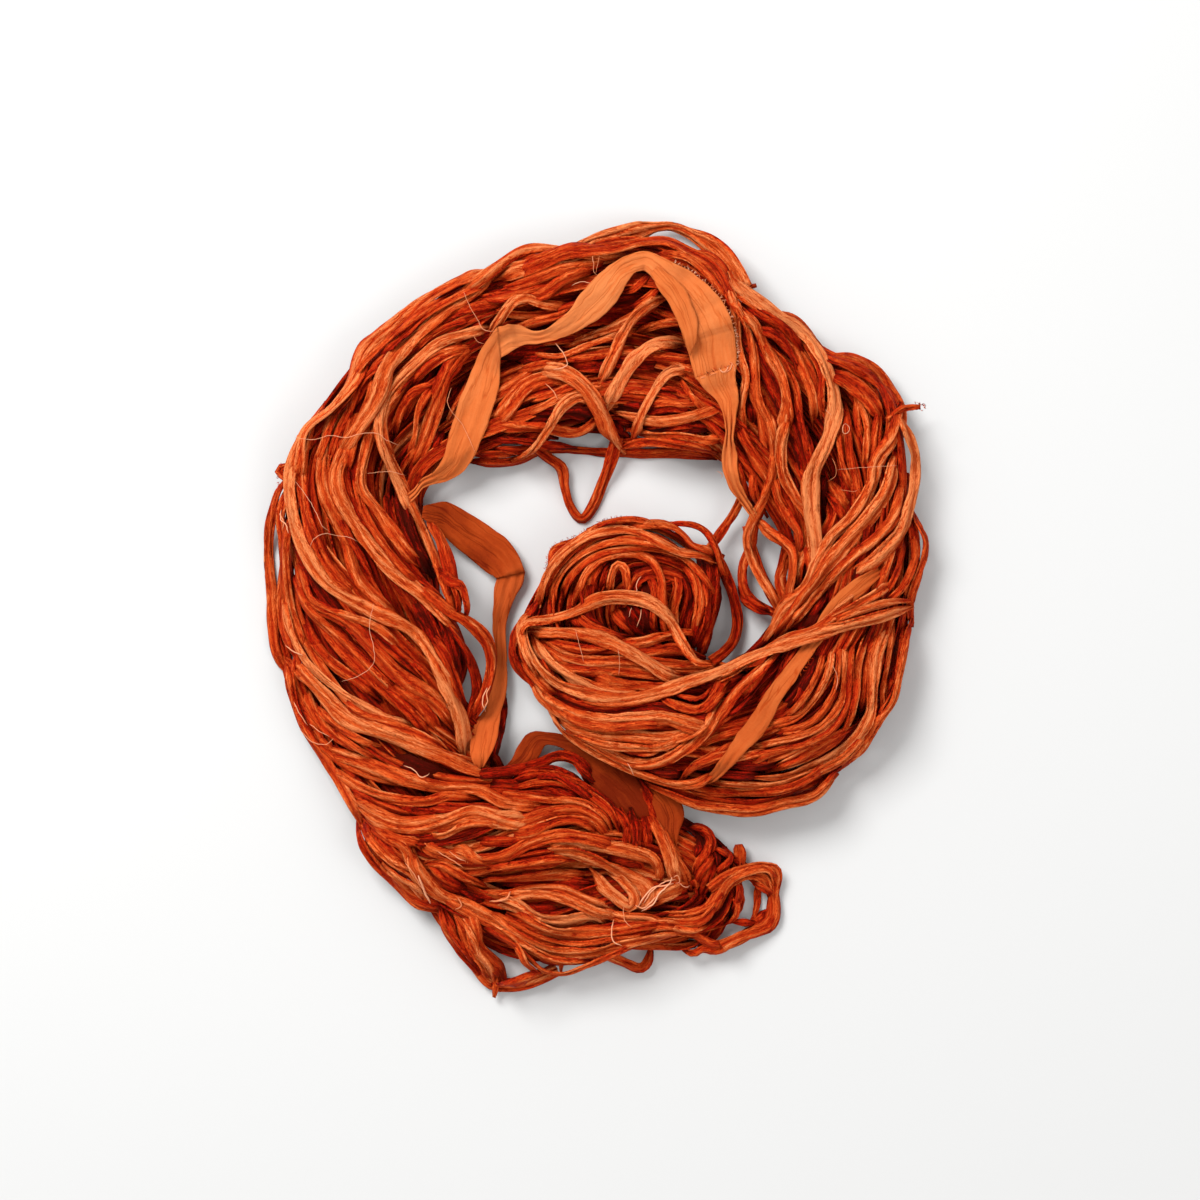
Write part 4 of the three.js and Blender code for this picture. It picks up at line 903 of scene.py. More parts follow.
RING_LENGTHS = [
    Laid(9, 0.03, [(-12, 2), (-4, -8), (8, -13), (20, -14)]),
    Laid(9, 0.03, [(12, 6), (18, -4), (26, -12), (36, -18)]),
    # Near black: painted shade laid over a deep gap between strands.
    Laid(9, -0.20, [(22, 18), (26, 6), (26, -6), (24, -16)]),
    Laid(8, 0.03, [(40, 22), (46, 8), (44, -8), (40, -20)]),
    Laid(9, 0.05, [(20, -20), (34, -22), (48, -24)]),
    Laid(7, 0.03, [(-24, -42), (-8, -48), (10, -50), (30, -49), (50, -53), (64, -52)]),
    Laid(6, 0.19, [(56, 31), (58.8, 20), (57.8, 8), (56, -6), (53.5, -16), (50, -26)]),
    Laid(7, 0.08, [(50, 30), (54, 18), (52.5, 4), (50.5, -10), (46, -22)]),
    Laid(6, 0.25, [(-27.5, 7), (-35.4, -3), (-41.8, -12), (-42.9, -20), (-40, -29), (-33, -37),
                   (-25.5, -47)]),
    Laid(6, 0.45, [(-26, 12), (-24, 21), (-22.5, 29.5), (-17, 33), (-8, 36)]),
    Laid(5, 0.27, [(50, 22), (55, 10), (55, -4), (51, -16)]),
    Laid(5, 0.29, [(-14, 2), (-8, -5), (-2, -9), (8, -12), (16, -16)]),
    Laid(4, 0.31, [(-18, -2), (-10, -8), (-4, -12)]),
    Laid(5, 0.35, [(-4, 4), (-4, 14), (0, 22), (8, 26)]),
    Laid(4, 0.35, [(2, 4), (3, 12), (5, 20), (10, 25)]),
    Laid(4, 0.41, [(20, 19), (27, 15), (29, 6), (28, -6), (31, -14)]),
    Laid(6, 0.39, [(6, 6), (9, -2), (15, -9), (22, -15)]),
    Laid(5, 0.45, [(36, 22), (40, 12), (38, 0), (38, -12), (42, -22)]),
    Laid(5, 0.53, [(40, 26), (48, 16), (51, 4), (49, -6), (46, -14)]),
    Laid(5, 0.61, [(-12, 2), (-9, 12), (-4, 21), (5, 27), (17, 28.5), (27, 25), (32, 16), (33, 4),
                   (34, -8), (38, -18)]),
    Laid(4, 0.55, [(6, 3), (7, 14), (9.5, 21.5), (13.5, 20), (14.5, 12), (14.5, 4)]),
    Laid(5, 0.55, [(-18, 2), (-16, 12), (-9, 22), (2, 29), (16, 31.5), (30, 31), (42, 27), (52, 18),
                   (60, 6)]),
    Laid(5, 0.63, [(-22, 0), (-22, 12), (-13, 24), (0, 32), (14, 35), (28, 33), (42, 29), (54, 27),
                   (62, 20)]),
    Laid(4, 0.41, [(-25, 4), (-24, 16), (-14, 28), (-2, 36), (12, 38)]),
    Laid(5, 0.57, [(-30.5, 0), (-26.3, 14), (-21, 26.5), (-10, 36.5), (3, 43.5), (16, 45), (30, 43)]),
    Laid(5, 0.71, [(-29, 0), (-27, 14), (-19, 26), (-5, 36), (10, 40), (22, 38.5), (32, 33.5), (42, 29),
                   (52, 27.5), (62, 22)]),
    Laid(5, 0.62, [(12, 42), (29, 43.3), (37.4, 41.9), (43, 38), (47.6, 33), (55.5, 30), (63, 26)]),
    Laid(4, 0.31, [(34, 43), (46, 43.2), (54, 39.5), (59, 32), (62.5, 22), (67, 10)]),
    Laid(4, 0.5, [(-5, 39.5), (4, 43.8), (12, 45.4), (22, 44.6), (31, 42)]),
    Laid(5, 0.49, [(8, -17), (20, -17), (32, -14), (44, -12), (54, -14)]),
    Laid(6, 0.41, [(-30, -14), (-18, -19), (-4, -21), (10, -20), (24, -22), (40, -20), (54, -24)]),
    Laid(6, 0.57, [(-31, -14), (-20, -22), (-6, -26), (10, -26), (26, -27), (42, -29), (60, -29)]),
    Laid(5, 0.44, [(-30, -18), (-16, -29), (0, -31), (16, -31), (32, -33), (48, -32)]),
    Laid(5.5, 0.42, [(-6, -31), (6, -36), (20, -38), (34, -39), (46, -36)]),
    Laid(5, 0.56, [(-31, -15), (-26, -25), (-14, -33), (0, -39), (14, -42), (28, -40)]),
    Laid(6, 0.84, [(-33, -12), (-27, -23), (-15, -33), (-2, -41), (12, -44), (24, -41)]),
    Laid(7, 0.71, [(-37, -14), (-34, -10), (-27, -11), (-11, -12), (6, -16), (22, -24), (36, -33),
                   (46, -36)]),
    Laid(6, 0.45, [(30, -43), (42, -48), (51, -49), (58, -43), (63, -34), (72, -28)]),
    Laid(4, 0.45, [(38, -42), (50, -44), (58, -38)]),
    Laid(5, 0.51, [(46, -52), (54, -50), (60, -44), (66, -36)]),
    Laid(5, 0.39, [(-37.5, -25), (-34.5, -31), (-29, -37)]),
    Laid(5, 0.67, [(-26, -46), (-21, -57), (-10, -67), (6, -76), (22, -83), (38, -88), (50, -87),
                   (60, -80)]),
    Laid(4, 0.45, [(2, -66), (14, -70), (26, -71), (36, -68)]),
    Laid(4, 0.49, [(-6, -64), (8, -68), (20, -73)]),
    Laid(6, 0.65, [(-22, -52), (-10, -63), (4, -71), (18, -77), (32, -76), (46, -68), (56, -57),
                   (62, -46)]),
    Laid(7, 0.71, [(-22, -50), (-12, -58), (2, -62), (18, -63), (34, -64), (48, -60), (58, -51)]),
    Laid(8, 0.66, [(-34, -30), (-27.5, -44), (-13, -53), (4, -56), (20, -55.5), (34, -54.8), (48, -58.5),
                   (58, -61)]),
    Laid(6, 0.55, [(-39.3, -21), (-34, -29.5), (-26, -39), (-18, -43)]),
    Laid(4, 0.50, [(-30, -20), (-25, -32), (-16, -41)]),
    Laid(4, 0.58, [(-24, -47), (-10, -56), (6, -59), (22, -58), (38, -58)]),
    Laid(4, 0.62, [(-16, -61), (0, -67), (16, -69), (32, -69), (46, -63)]),
    Laid(6, 0.63, [(134, 10), (122, -1), (110, -10), (97, -14), (82, -21), (68, -30), (54, -36)]),
    Laid(6, 0.67, [(150, 16), (138, 6), (124, -2), (112, -8)]),
    Laid(5, 0.61, [(156, 4), (140, 2), (126, -3), (114, -9)]),
    Laid(7, 0.74, [(158, 2), (143, -4), (128, -8), (112, -12), (94, -17), (78, -23), (62, -30),
                   (45, -36), (29, -42),
                   (12, -45.2), (-4, -43.4), (-20, -37.6), (-31, -27), (-37, -15), (-35, -4)]),
    Laid(5, 0.75, [(-30, -33), (-36, -22), (-39, -10), (-36, -3), (-30, -4)]),
    Laid(6, 0.75, [(-39.5, -18), (-38.5, -9), (-34, -5.5), (-24, -4.5), (-12, -1.2), (0, 4.5), (12, 6.3),
                   (25, 4),
                   (36, -4), (43, -16), (49, -25), (58, -28)]),
]
TAIL_LENGTHS = [
    Laid(7, 0.04, [(50.5, -112), (52, -121), (47, -131)]),
    Laid(7, 0.12, [(56, -117), (61, -125), (61, -134)]),
    Laid(5, 0.30, [(53, -116), (60, -119.3), (66, -122.3), (71, -127)]),
    Laid(5, 0.30, [(11.5, -99), (13.6, -106), (14.8, -114), (15, -125)]),
    Laid(5, 0.20, [(16.5, -99), (18.6, -106), (19.5, -114), (20, -126)]),
    Laid(5, 0.22, [(22.5, -99), (24, -106), (25, -114), (25, -126)]),
    # The darker of these first lengths, from here to the one from (-36, -84), are toned low as painted
    # shade at the foot of the ring.
    Laid(6, 0.12, [(-66, -82), (-50, -81), (-38, -79), (-28, -76.4), (-20, -73.2), (-12, -74.6),
                   (-6, -80.5), (0, -89)]),
    Laid(4, 0.10, [(-44, -82.5), (-32, -79.6), (-22, -79.6), (-14, -82.8), (-5, -88)]),
    Laid(5, 0.16, [(-46, -87), (-34, -82), (-22, -82.3), (-12, -85.8), (-4, -91), (6, -99), (13, -106),
                   (16, -116)]),
    Laid(4, 0.36, [(-44, -90), (-30, -86), (-16, -87), (-4, -93), (6, -101), (12, -112)]),
    Laid(4, 0.18, [(-36, -84), (-22, -83), (-10, -90), (2, -100)]),
    Laid(6, 0.42, [(34, -102), (34, -112), (38, -122), (44, -132)]),
    Laid(5, 0.22, [(42.5, -108.8), (50, -107.9), (56, -110.8), (57.8, -117.5), (53, -127)]),
    Laid(4, 0.44, [(51, -111), (56, -115), (54.5, -122), (50, -128), (47, -138)]),
    Laid(4, 0.30, [(60, -118), (56, -126), (51, -133), (50, -142)]),
    Laid(4, 0.26, [(62, -119), (67, -124), (62, -130), (56, -137)]),
    Laid(5, 0.24, [(68, -131), (71.5, -139), (70, -148), (66, -156)]),
    Laid(4, 0.40, [(66, -140), (70, -148), (68, -155), (62, -158)]),
    Laid(4, 0.36, [(80, -133), (86.5, -141), (87, -150), (82, -156)]),
    Laid(3.4, 0.42, [(84.5, -133), (80.6, -140), (79.9, -147), (78.4, -153), (75, -158)]),
    Laid(6, 0.46, [(52, -156), (59, -148), (65.5, -138), (74, -132), (84, -133.5), (88, -143),
                   (88.6, -153.2),
                   (85.2, -159), (77, -161.3), (70, -165.2), (61, -168.4), (50, -168.5)]),
    Laid(4, 0.40, [(75, -134), (81, -138.3), (87, -143), (89, -148)]),
    Laid(4.5, 0.36, [(73, -158), (81, -153.6), (88, -149)]),
    Laid(6, 0.56, [(50, -155), (58, -146), (64, -136), (73, -130.6), (84, -128.8), (88.6, -133.2),
                   (88.8, -142)]),
    Laid(4, 0.30, [(64, -155.6), (73, -156.3), (83, -157)]),
    Laid(5, 0.44, [(40, -167), (47, -172.2), (53, -170), (59, -171), (68, -165.5), (79, -159.5)]),
    Laid(5, 0.40, [(40, -160), (50, -164), (60, -168), (70, -165)]),
    Laid(5, 0.54, [(28, -152), (42, -153), (54, -150), (61, -141), (66, -134)]),
    Laid(5, 0.60, [(24, -155), (38, -157), (51, -156), (57.5, -150), (62.5, -141)]),
    Laid(5, 0.64, [(-4, -149), (12, -154), (26, -155), (38, -160), (49, -161.5), (56.5, -157)]),
    Laid(6, 0.52, [(4, -166), (18, -162), (32, -158), (46, -160)]),
    Laid(5, 0.44, [(-8, -176), (4, -173), (12, -175.8), (21, -179.3), (25.3, -176), (27, -168)]),
    Laid(5, 0.50, [(25, -98), (27, -103), (31.4, -110), (38, -122), (44, -132), (47, -142)]),
    Laid(7, 0.66, [(26, -102), (32, -112), (36, -122), (38, -132), (42, -141)]),
    Laid(9, 0.70, [(22, -150), (30, -144), (40, -140), (47, -136)]),
    Laid(6, 0.30, [(2, -121), (12, -126), (22, -128), (18, -134)]),
    Laid(7, 0.68, [(-30, -117), (-14, -115), (2, -118), (16, -121), (27, -125), (30, -132), (26, -138)]),
    Laid(8, 0.74, [(-28, -121), (-12, -122), (2, -127), (14, -134), (24, -140), (22, -147), (14, -148)]),
    Laid(6, 0.80, [(-4, -129), (2, -138), (9, -144), (16, -149), (18.5, -143), (12, -136), (4, -131)]),
]

# Fine threads that lie loose on top.
Thread = namedtuple("Thread", "thick route")
THREADS = [
    Thread(0.5, [(-151, 86), (-142, 85), (-134, 87), (-126, 86), (-118, 88), (-110, 88), (-106, 85),
                 (-99, 82)]),
    Thread(0.5, [(-67, 159), (-64, 152), (-60, 145), (-57, 140), (-51, 139)]),
    Thread(0.4, [(-62, 137), (-60, 134), (-57, 133)]),
    Thread(0.5, [(-73, 111), (-75, 104), (-73, 99), (-68, 93), (-64, 85), (-61, 78)]),
    Thread(0.4, [(-151, 64), (-145, 56), (-140, 47), (-138, 42), (-134, 39)]),
    Thread(0.4, [(-144, 31), (-141, 36), (-136, 38), (-130, 37), (-124, 36), (-120, 34)]),
    Thread(0.4, [(-115, 68), (-104, 69), (-96, 67)]),
    Thread(0.4, [(-112, 3), (-114, -9), (-112, -19), (-112, -27), (-119, -33), (-128, -36)]),
    Thread(0.9, [(-156, -18), (-152, -21), (-147, -23)]),
    Thread(0.5, [(-3, 178), (-2, 173), (-2, 169), (0, 167)]),
    Thread(0.4, [(1, 177), (0, 172), (-1, 168)]),
    Thread(0.8, [(-21, 133), (-17, 128), (-15, 123), (-17, 121), (-22, 120)]),
    Thread(0.7, [(-26, 113), (-22, 109), (-20, 105)]),
    Thread(0.5, [(-13, 162), (-8, 164), (-3, 163)]),
    Thread(0.6, [(22, 17), (19.5, 13), (20, 8)]),
    Thread(0.6, [(22, 0), (21, -5), (19.5, -9)]),
    Thread(0.5, [(17, 1), (15.5, -4)]),
    Thread(0.4, [(-11, -10), (-9, -18), (-7, -26)]),
    Thread(0.4, [(10, -19), (11, -26), (10.5, -33)]),
    Thread(1.7, [(-89.5, -133), (-87, -140), (-83.5, -147)]),
    Thread(0.9, [(-96, -127), (-92, -132), (-88, -139)]),
    Thread(0.6, [(15, -77), (17, -80), (18, -83)]),
    Thread(1.5, [(-54, -146), (-48, -145.5), (-45, -144), (-43.5, -141)]),
    Thread(1.3, [(20, -149), (24, -143), (28, -139), (34, -138), (38, -137)]),
    Thread(1.2, [(19, -148), (23, -149.5), (26, -147), (30, -143)]),
    Thread(1.0, [(23, -147), (27, -141), (33, -136.5), (39, -135)]),
    Thread(1.2, [(22, -151), (28, -147), (31, -142), (36, -137), (37, -134)]),
    Thread(0.7, [(38, -134), (40, -133), (41, -136), (39, -137)]),
    Thread(0.7, [(41, -137), (44, -139), (46, -138)]),
    Thread(1.0, [(8, -155), (7, -161), (8, -166), (12, -168)]),
    Thread(0.6, [(13, -149), (13.5, -155), (17, -159)]),
    Thread(0.9, [(-80, -121), (-75, -124), (-70, -127), (-67, -129)]),
    Thread(0.8, [(-74, -121), (-70, -124), (-66, -126)]),
    Thread(0.9, [(-70, -144), (-68, -148), (-71, -150)]),
    Thread(0.8, [(-97, -78), (-92, -80), (-88, -84), (-84, -82)]),
    Thread(0.4, [(114, 100), (116, 98), (118, 97)]),
    Thread(0.4, [(117, 76), (119, 72), (119, 67), (115, 64)]),
    Thread(0.3, [(121, 60), (128, 59), (131, 60)]),
    Thread(0.4, [(117, -27), (120, -34), (119, -41)]),
    Thread(0.5, [(124, 93), (126, 91), (125, 88.5), (123, 88), (122.5, 91), (124, 93)]),
    Thread(0.3, [(120, 70), (133, 71), (150, 72)]),
    Thread(1.0, [(-53.5, -38), (-55.5, -42), (-55, -46), (-57, -50)]),
    Thread(0.9, [(-55, -39), (-57, -43), (-57.5, -47), (-56, -51)]),
    Thread(0.6, [(50.5, 115.2), (52.5, 116), (54.5, 116.4)]),
    Thread(0.5, [(56, 116.8), (58, 118), (60.5, 118.4)]),
    Thread(0.7, [(61, 120.4), (62.5, 118.6), (64.5, 119.6), (65.5, 121.8)]),
    Thread(0.6, [(64, 118.4), (66.5, 120.4), (67.5, 123.4)]),
    Thread(0.8, [(-152, -46), (-149, -52), (-145, -58)]),
    Thread(0.6, [(-149, -60), (-143, -66), (-136, -67.5), (-132, -64.5)]),
    Thread(0.6, [(-144, -57), (-139, -61), (-134, -63.5)]),
    Thread(0.5, [(66, 124), (68, 122), (69, 118)]),
    Thread(1.1, [(-159, 48), (-157, 44), (-157.5, 40)]),
    Thread(1.0, [(-158, 50), (-158.5, 45), (-156, 43), (-154.5, 38)]),
    Thread(0.4, [(60, 69), (62.5, 67.5), (62, 65.5)]),
]

# Lines of short fibres that stand up off worn edges, on the left of each line.
Fuzz = namedtuple("Fuzz", "count longest route")
FUZZ = [
    Fuzz(60, 2.2, [(-26.5, 12), (-25, 22), (-23, 30), (-18, 33.5), (-11, 36), (-4, 40)]),
    Fuzz(50, 1.8, [(-3, 41), (4, 44.5), (12, 45.8), (20, 45), (29, 43)]),
    Fuzz(24, 2.0, [(-158, 58), (-159.5, 68), (-157, 73)]),
    Fuzz(20, 2.0, [(158, 103), (163, 101.5), (161, 99)]),
    Fuzz(20, 3.0, [(50, 115), (60, 119), (69, 122.5)]),
    Fuzz(20, 2.5, [(-112, -58), (-100, -64), (-90, -70)]),
    Fuzz(24, 2.5, [(-82, -121), (-72, -125), (-62, -128)]),
    Fuzz(16, 2.5, [(108, -20), (104, -28), (100, -33)]),
]


# ---------------------------------------------------------------- small maths
def unit(vectors):
    """Each row of the array at length one."""
    return vectors / np.maximum(np.linalg.norm(vectors, axis=-1, keepdims=True), 1e-9)


def through(values, at, closed=False):
    """A Catmull-Rom run through rows of values, read at row positions."""
    values = np.asarray(values, float)
    count = len(values)
    at = np.asarray(at, float)
    low = np.floor(at).astype(int)
    if not closed:
        low = np.clip(low, 0, count - 2)
    part = at - low
    part = part.reshape(part.shape + (1,) * (values.ndim - 1))

    def row(step):
        index = low + step
        return values[index % count] if closed else values[np.clip(index, 0, count - 1)]

    a, b, c, d = row(-1), row(0), row(1), row(2)
    return 0.5 * (2 * b + (c - a) * part + (2 * a - 5 * b + 4 * c - d) * part ** 2
                  + (3 * b - a - 3 * c + d) * part ** 3)


def wander(rng, count, span):
    """A smooth random run of numbers within about one of zero, one swing every `span` entries."""
    knots = max(4, int(round(count / span)))
    values = rng.uniform(-1, 1, knots)
    return through(values, np.linspace(0, knots - 1, count))


def vary(rng, count, varying, middle=None):
    """A run of numbers about a middle value, its own or a given one, with its random swings."""
    values = varying.middle if middle is None else middle
    for size, span in varying.swings:
        values = values + size * wander(rng, count, span)
    return values


def evenly(path, step, closed=False):
    """The path read again at even steps, and the row positions that were read."""
    fine = 8
    count = len(path)
    rows = np.linspace(0, count if closed else count - 1, count * fine + 1)
    dense = through(path, rows, closed)
    run = run_of(dense[:, :3])
    steps = max(2, int(round(run[-1] / step)))
    at = np.interp(np.linspace(0, run[-1], steps + (0 if closed else 1), endpoint=not closed), run, rows)
    return through(path, at, closed), at


def run_of(path):
    """How far along the path each of its points is."""
    return np.concatenate([[0], np.cumsum(np.linalg.norm(np.diff(path, axis=0), axis=1))])


def smooth(values, rounds):
    """The run of values with each taken towards its neighbours."""
    values = values.copy()
    for _ in range(rounds):
        values[1:-1] = (values[:-2] + 2 * values[1:-1] + values[2:]) / 4
    return values


def taut(rest, steps, steepest):
    """A run that rests on the given heights and is nowhere steeper than given."""
    apart = np.abs(steps[:, None] - steps[None, :])
    return (rest[None, :] - steepest * apart).max(axis=1)


def eased(value):
    """A soft step from 0 to 1."""
    value = np.clip(value, 0, 1)
    return value * value * (3 - 2 * value)


def drawn(spots, height):
    """Where a place in the plan lies when it is at a height, so that the camera sees it there."""
    share = (CAMERA_UP - height) / (CAMERA_UP - PLAN_UP)
    return CAMERA_OVER + (spots - CAMERA_OVER) * share[..., None]


# ---------------------------------------------------------------- laying out the loops
SECTIONS = np.array(BUNDLE, float)


def station(t):
    """The section at a row position: middle, half vector to the inner edge, height and turn."""
    row = through(SECTIONS, t)
    outer = row[:, 0:2]
    inner = row[:, 2:4]
    return (outer + inner) / 2, (inner - outer) / 2, row[:, 4], np.radians(row[:, 5])


def place(t, reach, angle):
    """Where a strand at a share `reach` of the way out and at an angle round the section lies."""
    middle, half, height, turn = station(t)
    across = FILL * reach * np.cos(angle + turn)
    lift = reach * np.sin(angle + turn)
    centre = CENTRE_SHARE * height
    z = centre + np.where(lift > 0, height - centre - UNDER_TOP, centre - FLOOR_REST) * lift
    spot = np.column_stack([middle + half * across[:, None], z])
    width = np.linalg.norm(half, axis=1)
    facing = np.column_stack([half / width[:, None] * (across / width)[:, None],
                              lift / np.maximum(height / 2, 1)])
    return spot, unit(facing + 0.001 * UP)


def turn_round(start, end, outward, widest):
    """The bend that joins two runs at an end of the skein."""
    middle = (start + end) / 2
    half = (start - end) / 2
    radius = max(TIGHTEST, min(widest, np.linalg.norm(half[:2])))
    angles = np.linspace(0, np.pi, BEND_POINTS)[1:-1, None]
    return middle + half * np.cos(angles) + outward * radius * np.sin(angles)


def run_at(rng, t, reach, angle, clumps):
    """One run of a loop, which drifts round the section with its clump, and in and out."""
    clump = clumps[int(angle / (2 * np.pi) * CLUMPS) % CLUMPS]
    drift = vary(rng, len(t), RUN_DRIFT, clump)
    depth = np.clip(vary(rng, len(t), IN_AND_OUT, reach), INNERMOST, OUTERMOST)
    return place(t, depth, angle + drift)


def lay_loops(rng):
    """Every loop as a closed run of nodes, with the way its flat side faces at each."""
    loops = []
    last = len(BUNDLE) - 1
    clumps = [vary(rng, RUN_POINTS, CLUMP_DRIFT) for _ in range(CLUMPS)]
    for k in range(LOOPS):
        reach = math.sqrt((k + 0.5) / LOOPS)
        near = (TAIL_SHORT.least + TAIL_SHORT.outer * reach
                + TAIL_SHORT.chance * rng.random() ** TAIL_SHORT.power * (INNER_CHANCE - reach))
        far = (last - CURL_SHORT.least - CURL_SHORT.outer * reach
               - CURL_SHORT.chance * rng.random() ** CURL_SHORT.power)
        t = np.linspace(near, far, RUN_POINTS)
        out_path, out_face = run_at(rng, t, reach, k * NEXT_LOOP, clumps)
        back_path, back_face = run_at(rng, t, reach, k * NEXT_LOOP + np.pi, clumps)
        middle, _, _, _ = station(np.array([near, near + ON_STEP, far, far - ON_STEP]))
        tail_way = np.append(unit(middle[0] - middle[1]), 0)
        curl_way = np.append(unit(middle[2] - middle[3]), 0)
        curl_bend = turn_round(out_path[-1], back_path[-1], curl_way, CURL_BEND)
        tail_bend = turn_round(back_path[0], out_path[0], tail_way, TAIL_BEND)
        nodes = np.vstack([out_path, curl_bend, back_path[::-1], tail_bend])
        faces = np.vstack([out_face, np.tile(UP, (len(curl_bend), 1)), back_face[::-1],
                           np.tile(UP, (len(tail_bend), 1))])
        even, _ = evenly(np.hstack([nodes, faces]), NODE_STEP, closed=True)
        loops.append((even[:, :3], unit(even[:, 3:])))
    return loops


# ---------------------------------------------------------------- settling
def near_pairs(points, reach):
    """Every pair of points closer than reach, found on a grid of cells of that size."""
    cell = np.floor((points - points.min(0)) / reach).astype(np.int64) + 1
    size = cell.max(0) + 2
    key = (cell[:, 0] * size[1] + cell[:, 1]) * size[2] + cell[:, 2]
    order = np.argsort(key, kind="stable")
    ranked = key[order]
    found = []
    for dx in (-1, 0, 1):
        for dy in (-1, 0, 1):
            shift = (dx * size[1] + dy) * size[2]
            first = np.searchsorted(ranked, key + shift - 1, "left")
            last = np.searchsorted(ranked, key + shift + 1, "right")
            for k in range(int((last - first).max())):
                has = first + k < last
                a = np.nonzero(has)[0]
                b = order[first[has] + k]
                keep = a < b
                a, b = a[keep], b[keep]
                close = np.sum((points[a] - points[b]) ** 2, axis=1) < reach ** 2
                found.append(np.stack([a[close], b[close]]))
    return np.hstack(found)


def push_apart(points, owner, order, stretch):
    """How far each point is pushed off the points of other strands that come too near."""
    a, b = near_pairs(points * stretch, TOUCH)
    apart = (owner[a] != owner[b]) | (np.abs(order[a] - order[b]) > OWN_REACH)
    a, b = a[apart], b[apart]
    gap = (points[a] - points[b]) * stretch
    far = np.maximum(np.linalg.norm(gap, axis=1), LEAST_GAP)
    push = (gap * ((TOUCH - far) / far * 0.5)[:, None]) / stretch
    total = np.zeros_like(points)
    np.add.at(total, a, push)
    np.add.at(total, b, -push)
    hits = np.bincount(a, minlength=len(points)) + np.bincount(b, minlength=len(points))
    return total / np.maximum(hits * SHARED, 1)[:, None]


def settle(loops, rounds):
    """Pushes the strands apart, pulls them down and back to their places, and smooths them."""
    lengths = [len(path) for path, _ in loops]
    starts = np.repeat(np.cumsum([0] + lengths[:-1]), lengths)
    owner = np.repeat(np.arange(len(loops)), lengths)
    order = np.concatenate([np.arange(length) for length in lengths])
    before = starts + (order - 1) % np.repeat(lengths, lengths)
    after = starts + (order + 1) % np.repeat(lengths, lengths)
    home = np.vstack([path for path, _ in loops])
    points = home.copy()
    stretch = np.array([1, 1, SQUASH])
    for step in range(rounds):
        pull = FIRST_PULL * (1 - step / rounds) + LAST_PULL
        points += pull * (home - points)
        points[:, 2] -= SINK
        for _ in range(PUSHES):
            points += push_apart(points, owner, order, stretch)
            points += STIFF * ((points[before] + points[after]) / 2 - points)
            points[:, 2] = np.maximum(points[:, 2], FLOOR_REST)
    return list(zip(np.split(points, np.cumsum(lengths)[:-1]), [face for _, face in loops]))


# ---------------------------------------------------------------- the pile so far
class Pile:
    """How high everything laid so far reaches, on a square grid over the table."""

    CELL = 1.0
    LOW = np.array([-190.0, -215.0])
    SIZE = (380, 430)

    def __init__(self):
        self.height = np.zeros(self.SIZE)

    def near(self, spots, radius):
        """The grid cells within a radius of each spot, and their distance from it."""
        reach = np.arange(-math.ceil(radius / self.CELL), math.ceil(radius / self.CELL) + 1)
        dx, dy = (grid.ravel() for grid in np.meshgrid(reach, reach, indexing="ij"))
        inside = np.hypot(dx, dy) * self.CELL <= radius + 0.01
        dx, dy = dx[inside], dy[inside]
        cell = np.round((spots[:, :2] - self.LOW) / self.CELL).astype(int)
        i = np.clip(cell[:, :1] + dx, 0, self.SIZE[0] - 1)
        j = np.clip(cell[:, 1:2] + dy, 0, self.SIZE[1] - 1)
        return i, j, np.hypot(dx, dy) * self.CELL

    def add(self, points, radius, above):
        """Lays a rounded patch over each point."""
        i, j, away = self.near(points, radius)
        tops = points[:, 2:3] + above - PATCH_FALL * radius * (away / radius) ** 2
        np.maximum.at(self.height, (i, j), tops)

    def top(self, spots, radius):
        """The highest that the pile reaches within a radius of each spot."""
        i, j, _ = self.near(spots, radius)
        return self.height[i, j].max(axis=1)

    def mean(self, spots, radius):
        """The mean height of the pile within a radius of each spot."""
        i, j, _ = self.near(spots, radius)
        return self.height[i, j].mean(axis=1)

    def slope(self, spots, span):
        """The pile's upward normal round each spot."""
        rise = []
        for step in span * np.eye(2):
            ahead = self.mean(spots[:, :2] + step, span / 2)
            behind = self.mean(spots[:, :2] - step, span / 2)
            rise.append(np.clip((ahead - behind) / (2 * span), -STEEPEST_PILE, STEEPEST_PILE))
        return unit(np.stack([-rise[0], -rise[1], np.ones(len(spots))], axis=1))


# ---------------------------------------------------------------- skinning a ribbon
# A ribbon's mesh: its points and quads, and at each point the place across and along the cloth, and
# the tone, with the painted shade and light that is put in it.
Ribbon = namedtuple("Ribbon", "points faces across along tone")
# A ribbon's shape at each section: as in Crumpled, with the width of its cloth and its wrinkles.
Shape = namedtuple("Shape", "width cut pleats phase crown roll deep tone wrinkle rim")


def frames(path, facing):
    """Side and upright of a ribbon at each point of its path."""
    along = unit(np.gradient(path, axis=0))
    facing = facing - np.sum(facing * along, axis=1, keepdims=True) * along
    facing = unit(facing + 1e-6)
    flips = np.sign(np.sum(facing[1:] * facing[:-1], axis=1))
    flips[flips == 0] = 1
    facing[1:] *= np.cumprod(flips)[:, None]
    for _ in range(FACING_ROUNDS):
        facing[1:-1] = (facing[:-2] + 2 * facing[1:-1] + facing[2:]) / 4
    facing = unit(facing - np.sum(facing * along, axis=1, keepdims=True) * along)
    return np.cross(along, facing), facing


